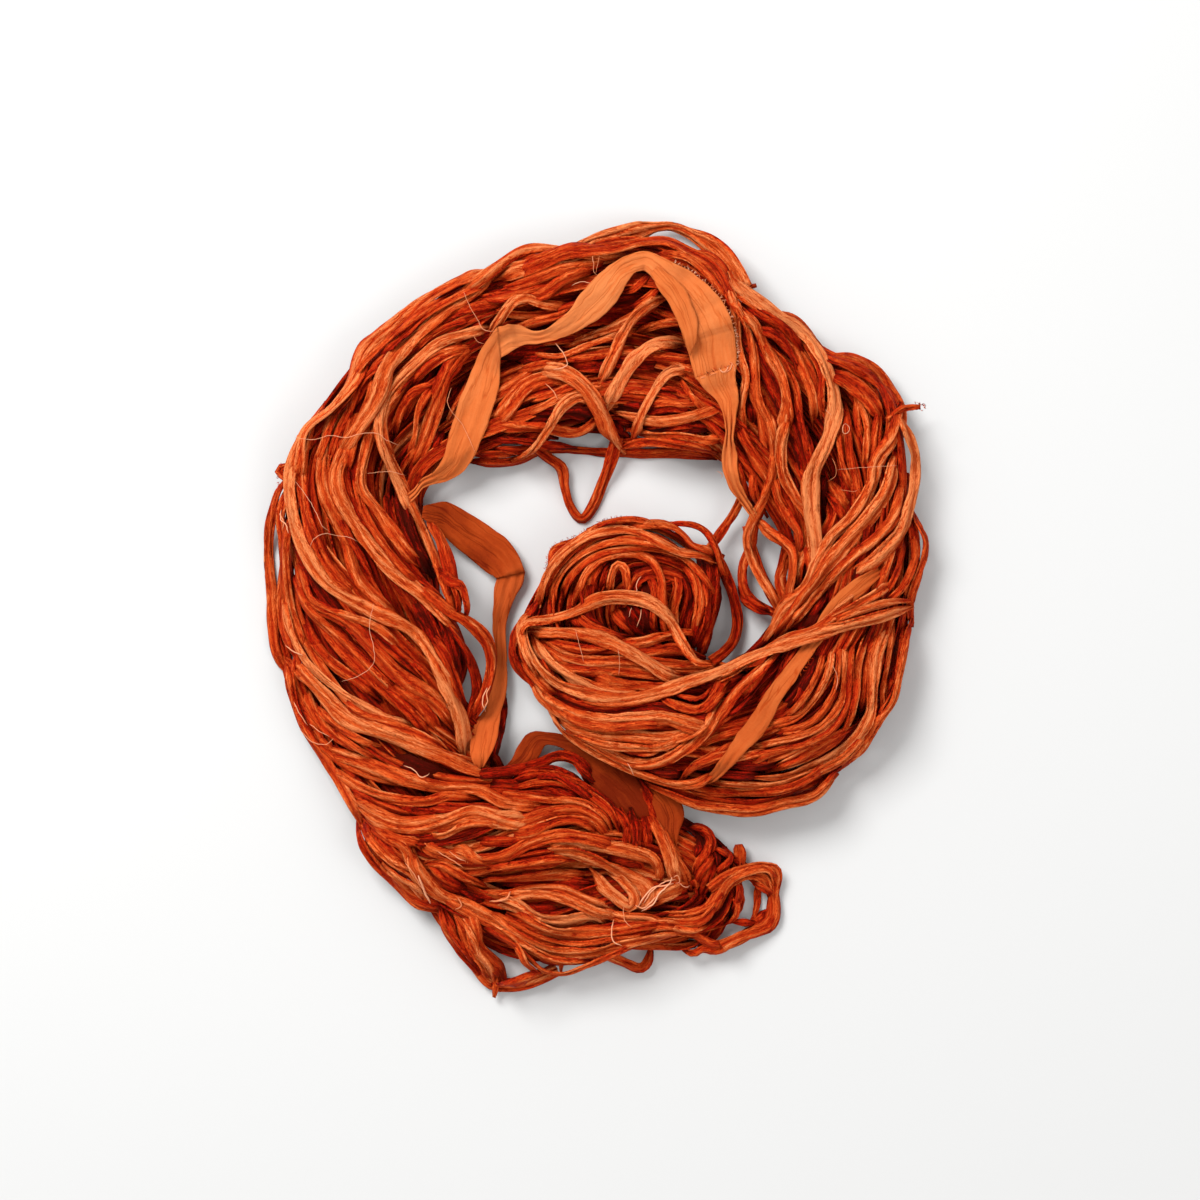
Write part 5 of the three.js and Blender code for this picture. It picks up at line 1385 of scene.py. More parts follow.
def shell(face, normals, thick):
    """A closed sheet round a grid of points: both faces, the long edges and the ends."""
    rings, row = face.shape[:2]
    half = normals * thick / 2
    grid = np.concatenate([face + half, (face - half)[:, ::-1]], axis=1)
    count = 2 * row
    base = (np.arange(rings - 1) * count)[:, None]
    j = np.arange(count)[None, :]
    k = (j + 1) % count
    quads = np.stack([base + j, base + count + j, base + count + k, base + k], axis=-1).reshape(-1, 4)
    caps = []
    for start, front in ((0, True), ((rings - 1) * count, False)):
        for q in range(row - 1):
            quad = [start + q, start + q + 1, start + count - 2 - q, start + count - 1 - q]
            caps.append(quad if front else quad[::-1])
    return grid.reshape(-1, 3), np.vstack([quads, np.array(caps)])


def skin(path, facing, shape):
    """A closed pleated ribbon along a path."""
    side, upright = frames(path, facing)
    width, pleats, phase, crown, roll, deep, tone, rim = (
        getattr(shape, name)[:, None] for name in Crumpled._fields)
    side, upright = (side * np.cos(roll) + upright * np.sin(roll),
                     upright * np.cos(roll) - side * np.sin(roll))
    w = np.linspace(-1, 1, shape.wrinkle.shape[1])[None, :]
    wave = np.pi * pleats * (w + SKEW * np.sin(np.pi * w + SKEW_DRIFT * phase)) + phase
    share = np.maximum(shape.cut / width, LEAST_CLOTH)
    depth = width / (np.pi * pleats) * np.sqrt(share ** 2 - 1) * 0.5
    depth = np.minimum(depth, DEEPEST) * deep
    x = width / 2 * w + OVERHANG * depth * np.sin(2 * wave)
    y = depth * np.sin(wave) * (1 - OUTER_EASE * w ** 2) + shape.wrinkle
    # Painted shade in the grooves and on the rims, and painted light on the ridges.
    painted_relief = np.clip(y / GROOVE_DEPTH, -1, 1) - rim * np.abs(w) ** RIM_FALL
    y = y - crown * (w ** 2 - CROWN_LEVEL)
    x = x + WRINKLE_ASIDE * shape.wrinkle[:, ::-1]
    dx, dy = np.gradient(x, axis=1), np.gradient(y, axis=1)
    size = np.maximum(np.hypot(dx, dy), 1e-6)
    face = path[:, None, :] + side[:, None, :] * x[..., None] + upright[:, None, :] * y[..., None]
    normals = side[:, None, :] * (-dy / size)[..., None] + upright[:, None, :] * (dx / size)[..., None]
    lift = np.maximum(CLEAR - face[..., 2].min(axis=1), 0)
    lift[1:-1] = np.maximum(lift[1:-1], (lift[:-2] + lift[2:]) / 2)
    face[..., 2] += lift[:, None]
    points, faces = shell(face, normals, THICK)
    across = np.concatenate([w[0], w[0, ::-1]])[None, :] * shape.cut / 2 + np.zeros((len(path), 1))
    along = np.repeat(run_of(path)[:, None] + PATTERN_SHIFT * phase[0], across.shape[1], axis=1)
    # The tone takes that painted shade and light, and the underside more painted shade.
    tones = tone + PAINTED_RELIEF_SHADE * np.concatenate([painted_relief, painted_relief[:, ::-1] - UNDERSIDE_PAINTED_SHADE], axis=1)
    return Ribbon(points, faces, across.ravel(), along.ravel(), tones.ravel())


def wrinkles(rng, count, cells, size, span):
    """Ridges that run along a ribbon, each column of it on its own."""
    return size * np.stack([wander(rng, count, span) for _ in range(cells + 1)], axis=1)


def mesh_piece(name, ribbons, material):
    """One Blender object from a list of ribbons."""
    starts = np.cumsum([0] + [len(r.points) for r in ribbons[:-1]])
    points = np.vstack([r.points for r in ribbons]) * MM
    faces = np.vstack([r.faces + start for r, start in zip(ribbons, starts)])
    mesh = bpy.data.meshes.new(name)
    mesh.vertices.add(len(points))
    mesh.vertices.foreach_set("co", points.ravel())
    mesh.loops.add(faces.size)
    mesh.loops.foreach_set("vertex_index", faces.ravel().astype(np.int32))
    mesh.polygons.add(len(faces))
    mesh.polygons.foreach_set("loop_start", np.arange(0, faces.size, 4, dtype=np.int32))
    mesh.update(calc_edges=True)
    mesh.validate()
    mesh.polygons.foreach_set("use_smooth", np.ones(len(mesh.polygons), bool))
    for key in ("across", "along", "tone"):
        values = np.concatenate([getattr(r, key) for r in ribbons]).astype(np.float32)
        mesh.attributes.new(key, "FLOAT", "POINT").data.foreach_set("value", values)
    piece = bpy.data.objects.new(name, mesh)
    bpy.context.scene.collection.objects.link(piece)
    mesh.materials.append(material)
    return piece


# ---------------------------------------------------------------- crumpled ribbon
def strand(rng, nodes, facing, base_tone):
    """A strand of the bundle: crumpled ribbon on a settled run of nodes."""
    both, _ = evenly(np.hstack([nodes, facing]), RING_STEP, closed=True)
    path, facing = both[:, :3], unit(both[:, 3:])
    count = len(path)
    sway = np.stack([wander(rng, count, SWAY_SPAN) for _ in range(3)], axis=1)
    path = path + sway * STRAND_SWAY
    path[:, 2] = np.maximum(path[:, 2], FLOOR_REST)
    flare = np.clip(wander(rng, count, FLARE_SPAN) - FLARE_OVER, 0, 1)
    return skin(path, facing, Shape(
        cut=RIBBON,
        width=vary(rng, count, STRAND.width) + FLARE * flare,
        pleats=vary(rng, count, STRAND.pleats),
        phase=rng.uniform(0, ANY_PHASE) + vary(rng, count, STRAND.phase),
        crown=vary(rng, count, STRAND.crown),
        roll=vary(rng, count, STRAND.roll),
        deep=vary(rng, count, STRAND.deep),
        tone=base_tone + vary(rng, count, STRAND.tone),
        wrinkle=wrinkles(rng, count, ACROSS, *STRAND_WRINKLE),
        rim=vary(rng, count, STRAND.rim),
    ))


def own(share, flat):
    """A laid length's own crown, roll, depth or cloth width, the less the flatter it lies."""
    return share.crumpled - share.less * flat


def crumple(rng, path, facing, width, tone, flat):
    """A length of ribbon along a path, crumpled less the wider and flatter it lies."""
    count = len(path)
    width = width * vary(rng, count, LAID.width)
    wide = width.mean()
    cells = NARROW_CELLS if wide < NARROW else WIDE_CELLS
    crown_share = np.minimum(width / CROWN_WIDTH, CROWN_MOST)
    return skin(path, facing, Shape(
        cut=wide * own(OWN_CUT, flat),
        width=width,
        pleats=(PLEATS_LEAST + PLEATS_PER_MM * wide) * vary(rng, count, LAID.pleats),
        phase=rng.uniform(0, ANY_PHASE) + vary(rng, count, LAID.phase),
        crown=own(OWN_CROWN, flat) * vary(rng, count, LAID.crown) * crown_share,
        roll=own(OWN_ROLL, flat) * vary(rng, count, LAID.roll) + vary(rng, count, FLUTTER),
        deep=own(OWN_DEEP, flat) * vary(rng, count, LAID.deep),
        tone=tone + vary(rng, count, LAID.tone),
        wrinkle=sum(wrinkles(rng, count, cells, *size_and_span) for size_and_span in LAID_WRINKLES),
        rim=vary(rng, count, LAID.rim),
    ))


def own_rng(start):
    """Random numbers that hang only on where a length starts, so that no other length shifts it."""
    return np.random.default_rng([SEED, int(10 * abs(start[0])), int(10 * abs(start[1]))])


def lay(pile, laid):
    """A length laid on the pile: it bridges the hollows and its ends tuck in."""
    rng = own_rng(laid.route[0])
    route, _ = evenly(np.array(laid.route, float), LAID_STEP)
    sway = np.stack([wander(rng, len(route), LAID_SWAY_SPAN) for _ in range(2)], axis=1)
    route = route + LAID_SWAY * sway
    steps = run_of(route)
    rest = pile.top(route, max(FEEL, FEEL_SHARE * laid.width))
    height = smooth(taut(rest, steps, STEEPEST), REST_ROUNDS) + HALF_HIGH
    to_end = np.minimum(steps, steps[-1] - steps)
    height -= TUCK * (1 - eased(to_end / TUCK_RUN))
    height = np.maximum(height, FLOOR_REST)
    path = np.column_stack([drawn(route, height), height])
    facing = pile.slope(path, SLOPE_SPAN)
    width = laid.width * (END_WIDTH + (1 - END_WIDTH) * eased(to_end / NARROW_RUN))
    # Painted shade on the ends, where they tuck in under the pile.
    tone = laid.tone - END_PAINTED_SHADE * (1 - eased(to_end / SHADED_END_RUN))
    ribbon = crumple(rng, path, facing, width, tone, 0.0 if laid.width < WIDE else FLATTER)
    pile.add(ribbon.points, *LAID_PATCH)
    return ribbon


def loose_ribbon(rows, tone):
    """A length of ribbon that lies loose beside the bundle."""
    rng = own_rng(rows[0])
    table, _ = evenly(np.array(rows, float), LAID_STEP)
    height = np.maximum(table[:, 2], LOOSE_REST)
    path = np.column_stack([drawn(table[:, :2], height), height])
    along = unit(np.gradient(path, axis=0))
    side = unit(np.cross(along, UP))
    lean = np.radians(table[:, 4])[:, None]
    facing = UP * np.cos(lean) + side * np.sin(lean)
    return crumple(rng, path, facing, table[:, 3], tone, 0.0)


# ---------------------------------------------------------------- flat bands
def band_sections(rows, step):
    """A band's rows read at even steps, and the section that each part of it starts at: a fold
    parts it."""
    rows = np.array(rows, float)
    folds = np.nonzero(np.all(rows[1:, :4] == rows[:-1, :4], axis=1))[0] + 1
    table, starts = [], []
    for part in np.split(rows, folds):
        _, at = evenly((part[:, 0:2] + part[:, 2:4]) / 2, step)
        starts.append(len(table))
        table.extend(through(part, at))
    return np.array(table), starts


def draped(pile, spots, even):
    """The heights of a band over the pile: it bridges hollows, and is drawn level across by a share."""
    under = pile.top(spots.reshape(-1, 2), BAND_FEEL).reshape(spots.shape[:2])
    rest = under
    for _ in range(DRAPE_ROUNDS):
        near = rest.copy()
        near[1:-1] = (rest[:-2] + 2 * rest[1:-1] + rest[2:]) / 4
        near[:, 1:-1] = (near[:, :-2] + 2 * near[:, 1:-1] + near[:, 2:]) / 4
        near[:, 0], near[:, -1] = near[:, 1] - EDGE_DROP, near[:, -2] - EDGE_DROP
        rest = np.maximum(near, under)
    return rest + even * (rest.max(axis=1, keepdims=True) - rest)


def long_fold(rng, across, size, middle, share):
    """A share of a soft ridge along a band, which strays from its place across it."""
    stray = vary(rng, len(size), FOLD_STRAY)[:, None]
    height = vary(rng, len(size), FOLD_HEIGHT)[:, None]
    away = across * size - size * (middle + stray)
    return share * np.exp(-(away / FOLD_WIDTH) ** 2) * height


def band_normals(face, starts):
    """The upward normals of a band, none of them across a fold."""
    last = len(face) - 1
    ahead = np.gradient(face, axis=0)
    for start in starts[1:]:
        ahead[start] = face[min(start + 1, last)] - face[start]
        ahead[start - 1] = face[start - 1] - face[start - 2]
    normals = unit(np.cross(np.gradient(face, axis=1), ahead))
    return normals * np.sign(normals[..., 2:3] + 1e-9)


def band(rng, rows, step, cells, pile=None, even=0.0, level=None, tone=0.5, folds=1.0, wave=0.35,
         pleats=0.0):
    """A flat band between two edges, draped on the pile or at a level off the table: a run of places
    along it and a run of heights. Its tone is one number or such a pair of runs."""
    table, starts = band_sections(rows, step)
    count = len(table)
    u = np.linspace(0, 1, cells + 1)
    left, right = table[:, None, 0:2], table[:, None, 2:4]
    spots = left + (right - left) * u[None, :, None]
    steps = run_of(spots[:, cells // 2])
    if level is None:
        rest = draped(pile, spots, even)
    else:
        rest = np.repeat(np.interp(steps, *level)[:, None], cells + 1, axis=1)
    across = (u - 0.5)[None, :]
    size = np.linalg.norm(table[:, 2:4] - table[:, 0:2], axis=1)[:, None]
    ridges = [long_fold(rng, across, size, middle, folds) for middle in LONG_FOLDS]
    waves = wave * wander(rng, count, WAVE_SPAN)[:, None] * np.cos(WAVE_ACROSS * across + WAVE_START)
    z = rest + table[:, 4:5] + sum(ridges) + waves
    pinch = PINCH * np.clip(1 - size / PINCH_UNDER, 0, 1) + pleats
    z = z + pinch * np.cos(4 * np.pi * across + vary(rng, count, PINCH_DRIFT)[:, None])
    for edge, inner in ((0, 1), (-1, -2)):
        ragged = vary(rng, count, RAGGED)
        spots[:, edge] += unit(spots[:, edge] - spots[:, inner]) * ragged[:, None]
    crinkle = wrinkles(rng, count, cells, 1, CRINKLE_SPAN)
    z = z + CRINKLE * crinkle * np.minimum(size / CRINKLE_WIDTH, 1)
    z = np.maximum(z, BAND_REST)
    face = np.concatenate([drawn(spots, z), z[..., None]], axis=2)
    points, faces = shell(face, band_normals(face, starts), BAND_THICK)
    if np.cross(face[1, 1] - face[1, 0], face[2, 0] - face[1, 0])[2] > 0:
        faces = faces[:, ::-1]
    if pile is not None:
        pile.add(face.reshape(-1, 3), *BAND_PATCH)
    width = np.concatenate([across * size, (across * size)[:, ::-1]], axis=1)
    along = np.repeat(steps[:, None], 2 * (cells + 1), axis=1)
    tone = np.interp(steps, *tone) if isinstance(tone, tuple) else tone
    tones = np.repeat((tone + vary(rng, count, BAND_TONE))[:, None], 2 * (cells + 1), axis=1)
    return Ribbon(points, faces, width.ravel(), along.ravel(), tones.ravel()), face


# ---------------------------------------------------------------- threads and fibres
def tube(path, thick, tone):
    """A thread: a thin closed tube of square section along a path."""
    facing = np.tile(UP, (len(path), 1)) + np.array([0.01, 0.02, 0.0])
    side, upright = frames(path, facing)
    turn = np.linspace(0, 2 * np.pi, SQUARE, endpoint=False)[None, :, None]
    swell = THREAD_END + (1 - THREAD_END) * np.sin(np.linspace(0, np.pi, len(path))) * 2
    taper = np.minimum(1.0, swell)[:, None, None]
    ring = side[:, None, :] * np.cos(turn) + upright[:, None, :] * np.sin(turn)
    points = (path[:, None, :] + ring * thick / 2 * taper).reshape(-1, 3)
    base = (np.arange(len(path) - 1) * SQUARE)[:, None]
    j = np.arange(SQUARE)[None, :]
    k = (j + 1) % SQUARE
    quads = np.stack([base + j, base + k, base + SQUARE + k, base + SQUARE + j], axis=-1).reshape(-1, 4)
    last = (len(path) - 1) * SQUARE
    caps = np.array([[3, 2, 1, 0], [last, last + 1, last + 2, last + 3]])
    zero = np.zeros(len(points))
    return Ribbon(points, np.vstack([quads, caps]), zero, zero, zero + tone)


def thread(rng, pile, row):
    """A loose thread that lies on the pile."""
    route, _ = evenly(np.array(row.route, float), THREAD_STEP)
    steps = run_of(route)
    rest = smooth(taut(pile.top(route, THREAD_FEEL), steps, THREAD_STEEPEST), THREAD_ROUNDS)
    height = rest + THREAD_LIFT + THREAD_HALF * row.thick
    to_end = np.minimum(steps, steps[-1] - steps)
    height -= THREAD_DIP * (1 - eased(to_end / THREAD_DIP_RUN))
    path = np.column_stack([drawn(route, height), height])
    path = path + THREAD_SHAKE * rng.uniform(-1, 1, path.shape)
    return tube(path, THREAD_SHARE * row.thick, THREAD_TONE + THREAD_TONE_RANGE * rng.random())


def fuzz(rng, pile, row):
    """Short fibres along a line on the pile, standing off its left."""
    route, _ = evenly(np.array(row.route, float), FUZZ_STEP)
    height = pile.top(route, FUZZ_FEEL) - FUZZ_DEPTH
    path = np.column_stack([drawn(route, height), height])
    outward = unit(np.cross(UP, np.gradient(path, axis=0)) + FUZZ_UP * UP)
    return fibres(rng, path, outward, row.count, row.longest)


def fibres(rng, path, outward, count, longest):
    """Short frayed fibres that stand off an edge."""
    made = []
    t = np.linspace(0, 1, FIBRE_POINTS)[:, None]
    for _ in range(count):
        k = rng.integers(1, len(path) - 1)
        along = unit(path[k + 1] - path[k - 1])
        reach = longest * (SHORTEST + (1 - SHORTEST) * rng.random())
        way = unit(outward[k] + FIBRE_ASIDE * rng.uniform(-1, 1) * along
                   + FIBRE_TILT * rng.uniform(-1, 1) * UP)
        bend = (BEND_ASIDE * reach * rng.uniform(-1, 1) * along
                + BEND_DOWN * reach * rng.uniform(*BEND_RANGE) * UP)
        fibre = path[k] + way * reach * t + bend * t ** 2
        fibre[:, 2] = np.maximum(fibre[:, 2], FIBRE_REST)
        made.append(tube(fibre, FIBRE, rng.random()))
    return made


# ---------------------------------------------------------------- materials
class Nodes:
    """Small helpers for building one material's nodes."""

    def __init__(self, name):
        self.material = bpy.data.materials.new(name)
        self.material.use_nodes = True
        self.nodes = self.material.node_tree.nodes
        self.links = self.material.node_tree.links
        self.shader = self.nodes["Principled BSDF"]

    def feed(self, sockets, sources):
        """Sets each socket to its source, a number or another node's output."""
        for socket, source in zip(sockets, sources):
            if isinstance(source, (int, float)):
                socket.default_value = source
            else:
                self.links.new(source, socket)

    def value(self, key):
        """One of a ribbon's own values: across, along or tone."""
        node = self.nodes.new("ShaderNodeAttribute")
        node.attribute_name = key
        return node.outputs["Fac"]

    def spot(self):
        """The place on the object."""
        return self.nodes.new("ShaderNodeTexCoord").outputs["Object"]

    def vector(self, x, y, z):
        node = self.nodes.new("ShaderNodeCombineXYZ")
        self.feed(node.inputs, (x, y, z))
        return node.outputs[0]

    def noise(self, vector, scale, detail, rough=0.5):
        node = self.nodes.new("ShaderNodeTexNoise")
        node.inputs["Scale"].default_value = scale
        node.inputs["Detail"].default_value = detail
        node.inputs["Roughness"].default_value = rough
        self.links.new(vector, node.inputs["Vector"])
        return node.outputs["Fac"]

    def maths(self, kind, a, b=0.0):
        node = self.nodes.new("ShaderNodeMath")
        node.operation = kind
        self.feed(node.inputs, (a, b))
        return node.outputs[0]

    def times(self, a, b):
        return self.maths("MULTIPLY", a, b)

    def total(self, start, *parts):
        """A value with each part added in turn."""
        for part in parts:
            start = self.maths("ADD", start, part)
        return start

    def around(self, source, amount, middle=0.5):
        """A source less its middle, times an amount."""
        return self.times(self.maths("SUBTRACT", source, middle), amount)

    def lines(self, source, sharp):
        """Thin lines of 0 where a noise is at its middle, and 1 elsewhere."""
        return self.maths("MINIMUM", self.maths("ABSOLUTE", self.around(source, 2 * sharp)), 1.0)

    def ramp(self, source, stops):
        """The colour of a source from 0 to 1, between stops."""
        node = self.nodes.new("ShaderNodeValToRGB")
        elements = node.color_ramp.elements
        elements[0].position, elements[0].color = stops[0][0], (*stops[0][1], 1)
        elements[1].position, elements[1].color = stops[-1][0], (*stops[-1][1], 1)
        for at, colour in stops[1:-1]:
            elements.new(at).color = (*colour, 1)
        self.links.new(source, node.inputs[0])
        return node.outputs[0]

    def bump(self, height, strength, distance):
        node = self.nodes.new("ShaderNodeBump")
        node.inputs["Strength"].default_value = strength
        node.inputs["Distance"].default_value = distance
        self.links.new(height, node.inputs["Height"])
        self.links.new(node.outputs[0], self.shader.inputs["Normal"])

    def finish(self, colour, rough, sheen, shine):
        """The material, with its colour, roughness, sheen and shine."""
        self.links.new(colour, self.shader.inputs["Base Color"])
        self.shader.inputs["Roughness"].default_value = rough
        self.shader.inputs["Sheen Weight"].default_value = sheen
        self.shader.inputs["Sheen Roughness"].default_value = SHEEN_ROUGH
        self.shader.inputs["Sheen Tint"].default_value = SHEEN_TINT
        self.shader.inputs["Specular IOR Level"].default_value = shine
        self.shader.inputs["Specular Tint"].default_value = SHINE_TINT
        return self.material


def silk(name, stops):
    """Crumpled silk: tone picks the colour, and folds and creases run along it with painted shade and
    light.
    """
    n = Nodes(name)
    along = n.value("along")
    side = n.total(n.value("across"), n.around(n.noise(n.spot(), 240, 2), 2.2))
    folds = n.noise(n.vector(side, n.times(along, 0.07), 0.0), 0.8, 3)
    fine = n.noise(n.vector(side, n.times(along, 0.12), 9.0), 2.6, 3, rough=0.6)
    fold_lines = n.lines(folds, 16)
    fine_lines = n.lines(fine, 12)
    patches = n.noise(n.spot(), 90, 3)
    grain = n.noise(n.spot(), 2600, 2)
    # The folds, fine creases and their lines that make the bump also go into the tone: painted shade in the
    # creases and painted light on the ridges.
    tone = n.total(n.value("tone"), n.around(patches, 0.40), n.around(folds, 0.55), n.around(fine, 0.45),
                   n.around(fold_lines, 0.40, middle=0.8), n.around(fine_lines, 0.34, middle=0.75),
                   n.around(grain, 0.26))
    height = n.total(folds, n.times(fold_lines, 0.30), n.times(fine, 0.35), n.times(fine_lines, 0.12),
                     n.times(grain, 0.07))
    n.bump(height, strength=0.9, distance=0.0011)
    return n.finish(n.ramp(tone, stops), rough=0.66, sheen=0.03, shine=0.11)


def flat_silk(name, stops):
    """Plain woven silk: a fine weave, crinkles with painted shade and light, a few long folds in painted
    shade and cloudy colour.
    """
    n = Nodes(name)
    across, along = n.value("across"), n.value("along")
    side = n.total(across, n.around(n.noise(n.spot(), 120, 2), 3.0))
    crinkle = n.noise(n.vector(side, n.times(along, 0.14), 3.0), 0.5, 4, rough=0.55)
    folds = n.lines(n.noise(n.vector(side, n.times(along, 0.06), 5.0), 0.22, 2, rough=0.4), 22)
    fineness = 15.0
    weave = n.times(n.maths("SINE", n.times(across, fineness)), n.maths("SINE", n.times(along, fineness)))
    clouds = n.noise(n.spot(), 42, 4)
    slubs = n.noise(n.vector(n.times(side, 0.3), along, 0.0), 1.4, 2)
    # The crinkles and fold lines that make the bump also go into the tone: painted light on the crinkles'
    # ridges, painted shade in their hollows and along the folds.
    tone = n.total(n.value("tone"), n.around(crinkle, 0.55), n.around(clouds, 0.75),
                   n.around(folds, 0.30, middle=0.9), n.times(weave, 0.05), n.around(slubs, 0.15))
    height = n.total(crinkle, n.times(weave, 0.05), n.times(folds, 0.25), n.times(slubs, 0.15))
    n.bump(height, strength=0.8, distance=0.0010)
    return n.finish(n.ramp(tone, stops), rough=0.62, sheen=0.02, shine=0.09)


def fibre_silk(name, stops):
    """Pale single fibres and threads."""
    n = Nodes(name)
    fine = n.noise(n.spot(), 400, 1)
    n.bump(fine, strength=0.2, distance=0.0002)
    colour = n.ramp(n.total(n.value("tone"), n.around(fine, 0.4)), stops)
    return n.finish(colour, rough=0.5, sheen=0.1, shine=0.3)


# ---------------------------------------------------------------- the stage
def stand_camera():
    """A camera that looks straight down."""
    lens = bpy.data.cameras.new("camera")
    lens.lens = LENS
    lens.sensor_width = SENSOR
    camera = bpy.data.objects.new("camera", lens)
    camera.location = (*CAMERA_OVER * MM, CAMERA_UP * MM)
    bpy.context.scene.collection.objects.link(camera)
    bpy.context.scene.camera = camera


def lay_floor():
    """A plain pale floor."""
    mesh = bpy.data.meshes.new("floor")
    far = FLOOR_REACH
    mesh.from_pydata([(-far, -far, 0), (far, -far, 0), (far, far, 0), (-far, far, 0)], [], [(0, 1, 2, 3)])
    floor = bpy.data.objects.new("floor", mesh)
    bpy.context.scene.collection.objects.link(floor)
    paper = bpy.data.materials.new("paper")
    paper.use_nodes = True
    shader = paper.node_tree.nodes["Principled BSDF"]
    shader.inputs["Base Color"].default_value = FLOOR_COLOUR
    shader.inputs["Roughness"].default_value = FLOOR_ROUGH
    mesh.materials.append(paper)


def light_up():
    """Soft light from two lamps and a white sky."""
    world = bpy.data.worlds.new("studio")
    bpy.context.scene.world = world
    world.use_nodes = True
    world.node_tree.nodes["Background"].inputs["Color"].default_value = (1, 1, 1, 1)
    world.node_tree.nodes["Background"].inputs["Strength"].default_value = SKY
    for lamp in LAMPS:
        light = bpy.data.lights.new(lamp.name, "AREA")
        light.size = lamp.size
        light.energy = lamp.power
        stand = bpy.data.objects.new(lamp.name, light)
        stand.location = lamp.spot
        stand.rotation_euler = (-Vector(lamp.spot)).to_track_quat("-Z", "Y").to_euler()
        bpy.context.scene.collection.objects.link(stand)
    bpy.context.scene.view_settings.view_transform = "Standard"


# ---------------------------------------------------------------- pieces
def put(name, ribbons, material, slot, *nodes):
    """Makes a piece, rides it and hides the CAD nodes it stands for; its slot is not used."""
    piece = mesh_piece(name, ribbons, material)
    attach(piece, "root")
    if nodes:
        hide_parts(*nodes)
    return piece


def put_flat(name, bands, tables, material, slot, held, rests_on, *nodes):
    """Makes a piece of flat bands; its tables, held and rests_on are not used."""
    piece = put(name, bands, material, slot, *nodes)


def put_lengths(name, pile, lengths):
    """Lays lengths of a table on the pile and makes a piece of them."""
    put(name, [lay(pile, laid) for laid in lengths], rust, "ribbon_rust")


stand_camera()
lay_floor()
light_up()
rust = silk("ribbon_rust", RUST)
orange = flat_silk("ribbon_orange", ORANGE)
brown = flat_silk("ribbon_brown", BROWN)
pale = fibre_silk("thread_pale", PALE)
rng = np.random.default_rng(SEED)
pile = Pile()

# The bundle.
loops = settle(lay_loops(rng), SETTLE_ROUNDS)
strands = [strand(rng, nodes, facing, rng.uniform(*STRAND_TONES)) for nodes, facing in loops]
for k in range(0, LOOPS, PER_PIECE):
    put(f"strands_{k // PER_PIECE + 1}", strands[k:k + PER_PIECE], rust, "ribbon_rust", "skein")
for ribbon in strands:
    pile.add(ribbon.points, *STRAND_PATCH)

# The brown ribbons, whose level and tone go by the run along them.
# The tail ribbon's tone falls along its run and stays low to its end: painted shade, as it lies in shade.
tail, _ = band(rng, TAIL_BAND, 2.0, 12, level=([0, 25, 60, 110], [14, 5, 9, 16]),
               tone=([0, 45, 70], [0.15, 0.08, -0.08]))
put_flat("tail_ribbon_silk", [tail], [TAIL_BAND], brown, "ribbon_brown", "laid", ["strands_1"],
         "tail_ribbon")
flap, _ = band(rng, TAIL_FLAP, 2.0, 10, level=([0, 30, 50], [12, 14, 20]), tone=0.30)
put_flat("tail_flap_silk", [flap], [TAIL_FLAP], brown, "ribbon_brown", "laid", ["strands_1"])
# The inner ribbon's tone rises along its run, lightest where it lies deep between the arms: painted light
# against the shade there.
inner, _ = band(rng, INNER_BAND, 2.0, 14, level=([0, 12, 30, 80, 120, 150], [16, 9, 5, 5, 8, 22]),
                tone=([0, 50, 60, 90, 110, 150], [0.29, 0.36, 0.70, 0.80, 1.0, 0.90]))
put_flat("inner_ribbon_silk", [inner], [INNER_BAND], brown, "ribbon_brown", "folded", ["strands_1"],
         "inner_ribbon")

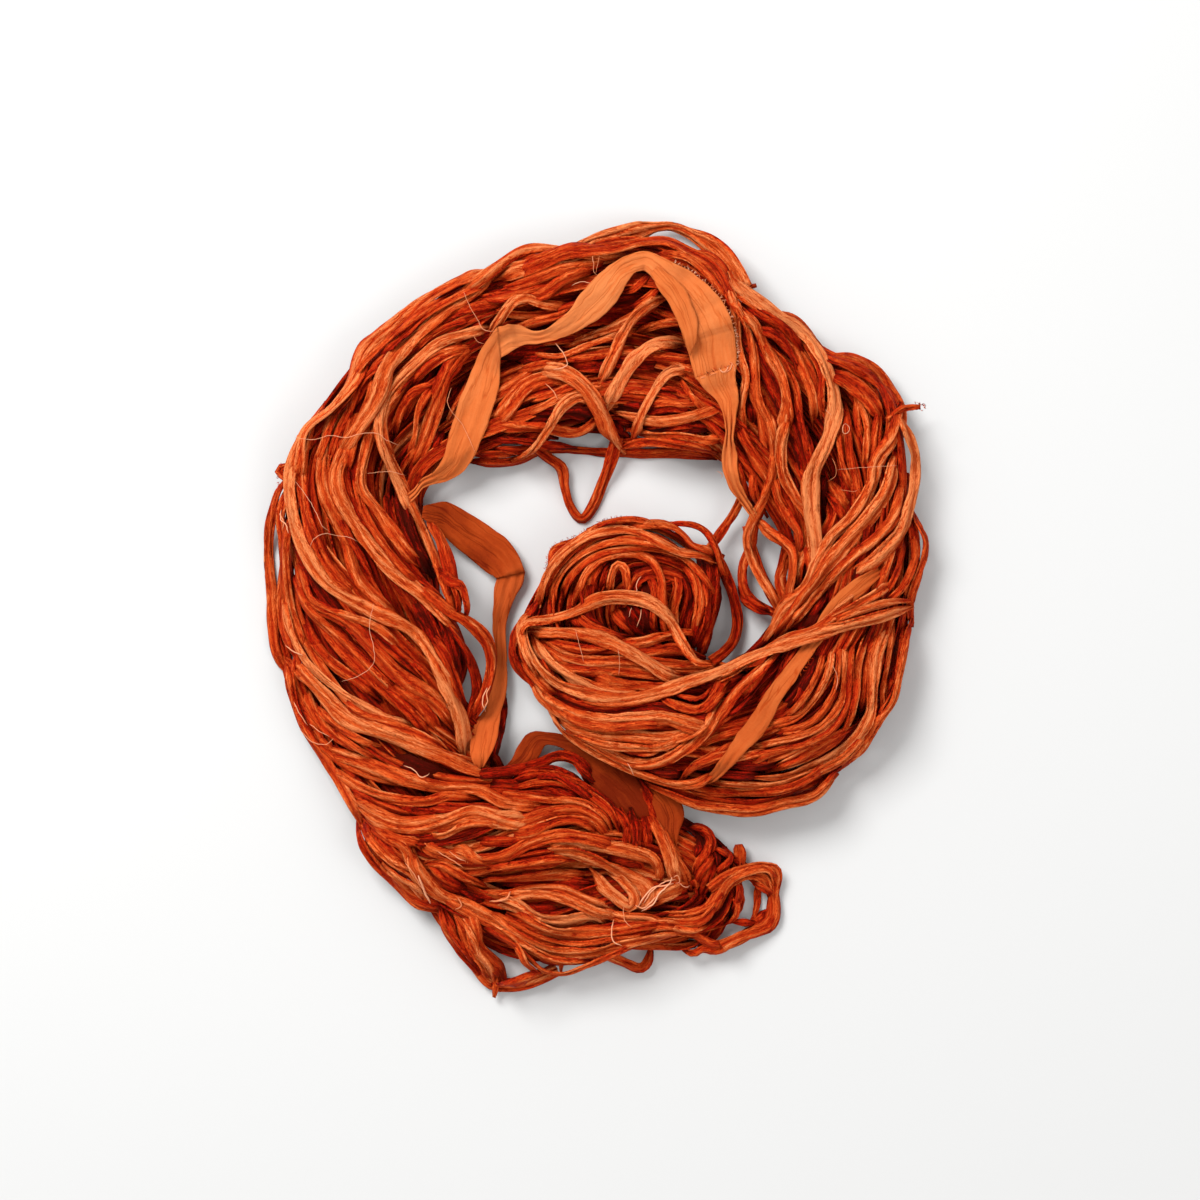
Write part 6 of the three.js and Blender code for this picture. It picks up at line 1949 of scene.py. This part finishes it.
# The lengths that show and the orange bands, in the order in which they lie on each other.
put_lengths("laid_deep", pile, DEEP_LENGTHS)
put_lengths("laid_left", pile, ARM_LENGTHS + TOP_LENGTHS + HOLLOW_LENGTHS)
put_lengths("laid_right", pile, RIGHT_LENGTHS + LOW_RIGHT_LENGTHS)
low, _ = band(rng, LOWER_BAND, 1.6, 10, pile=pile, tone=0.22, folds=0.3, wave=0.15)
put_flat("lower_band_silk", [low], [LOWER_BAND], orange, "ribbon_orange", "laid", ["laid_right"],
         "lower_band")
put_lengths("laid_curl", pile, RING_LENGTHS)
put_lengths("laid_tail", pile, TAIL_LENGTHS + LOW_LEFT_LENGTHS + CORNER_LENGTHS)
# The wide band's tone is highest from its first fold to its apex, where it leans away from the key lamp:
# painted light against that shade.
wide, wide_face = band(rng, WIDE_BAND, 1.5, 20, pile=pile, even=0.6, folds=0.9, wave=0.4,
                       tone=([0, 95, 110, 180, 240], [0.55, 0.6, 0.75, 0.7, 0.5]))
sewn, _ = band(rng, SEWN_LENGTH, 1.2, 16, pile=pile, tone=0.55, folds=0.4, pleats=0.5)
over, _ = band(rng, WIDE_FLAP, 1.5, 8, pile=pile, tone=0.5, folds=0.0, wave=0.2)
put_flat("wide_band_silk", [wide, sewn, over], [WIDE_BAND, SEWN_LENGTH, WIDE_FLAP], orange,
         "ribbon_orange", "draped", ["laid_left", "laid_right"], "wide_band")

# The loose loops and ends.
for name, rows in LOOSE_LOOPS.items():
    slot = "ribbon_orange" if name == "top_loop" else "ribbon_rust"
    loop = put(name + "_silk", [loose_ribbon(rows, LOOP_TONES[name])], rust, slot, name)
put("loose_lengths", [loose_ribbon(rows, LOOSE_TONE) for rows in LOOSE_ENDS], rust, "ribbon_rust")

# Threads, the torn edge of the wide band and fuzz.
put("loose_threads", [thread(rng, pile, row) for row in THREADS], pale, "ribbon_orange")
torn = np.all(wide_face[:, 0, :2] > TORN_FROM, axis=1)
edge = wide_face[torn, 0]
outward = unit(edge - wide_face[torn, 2])
put("frayed_edge", fibres(rng, edge, outward, FRAYED_COUNT, FRAYED_LONGEST), pale, "ribbon_orange")
put("fuzz", [fibre for row in FUZZ for fibre in fuzz(rng, pile, row)], rust, "ribbon_rust")
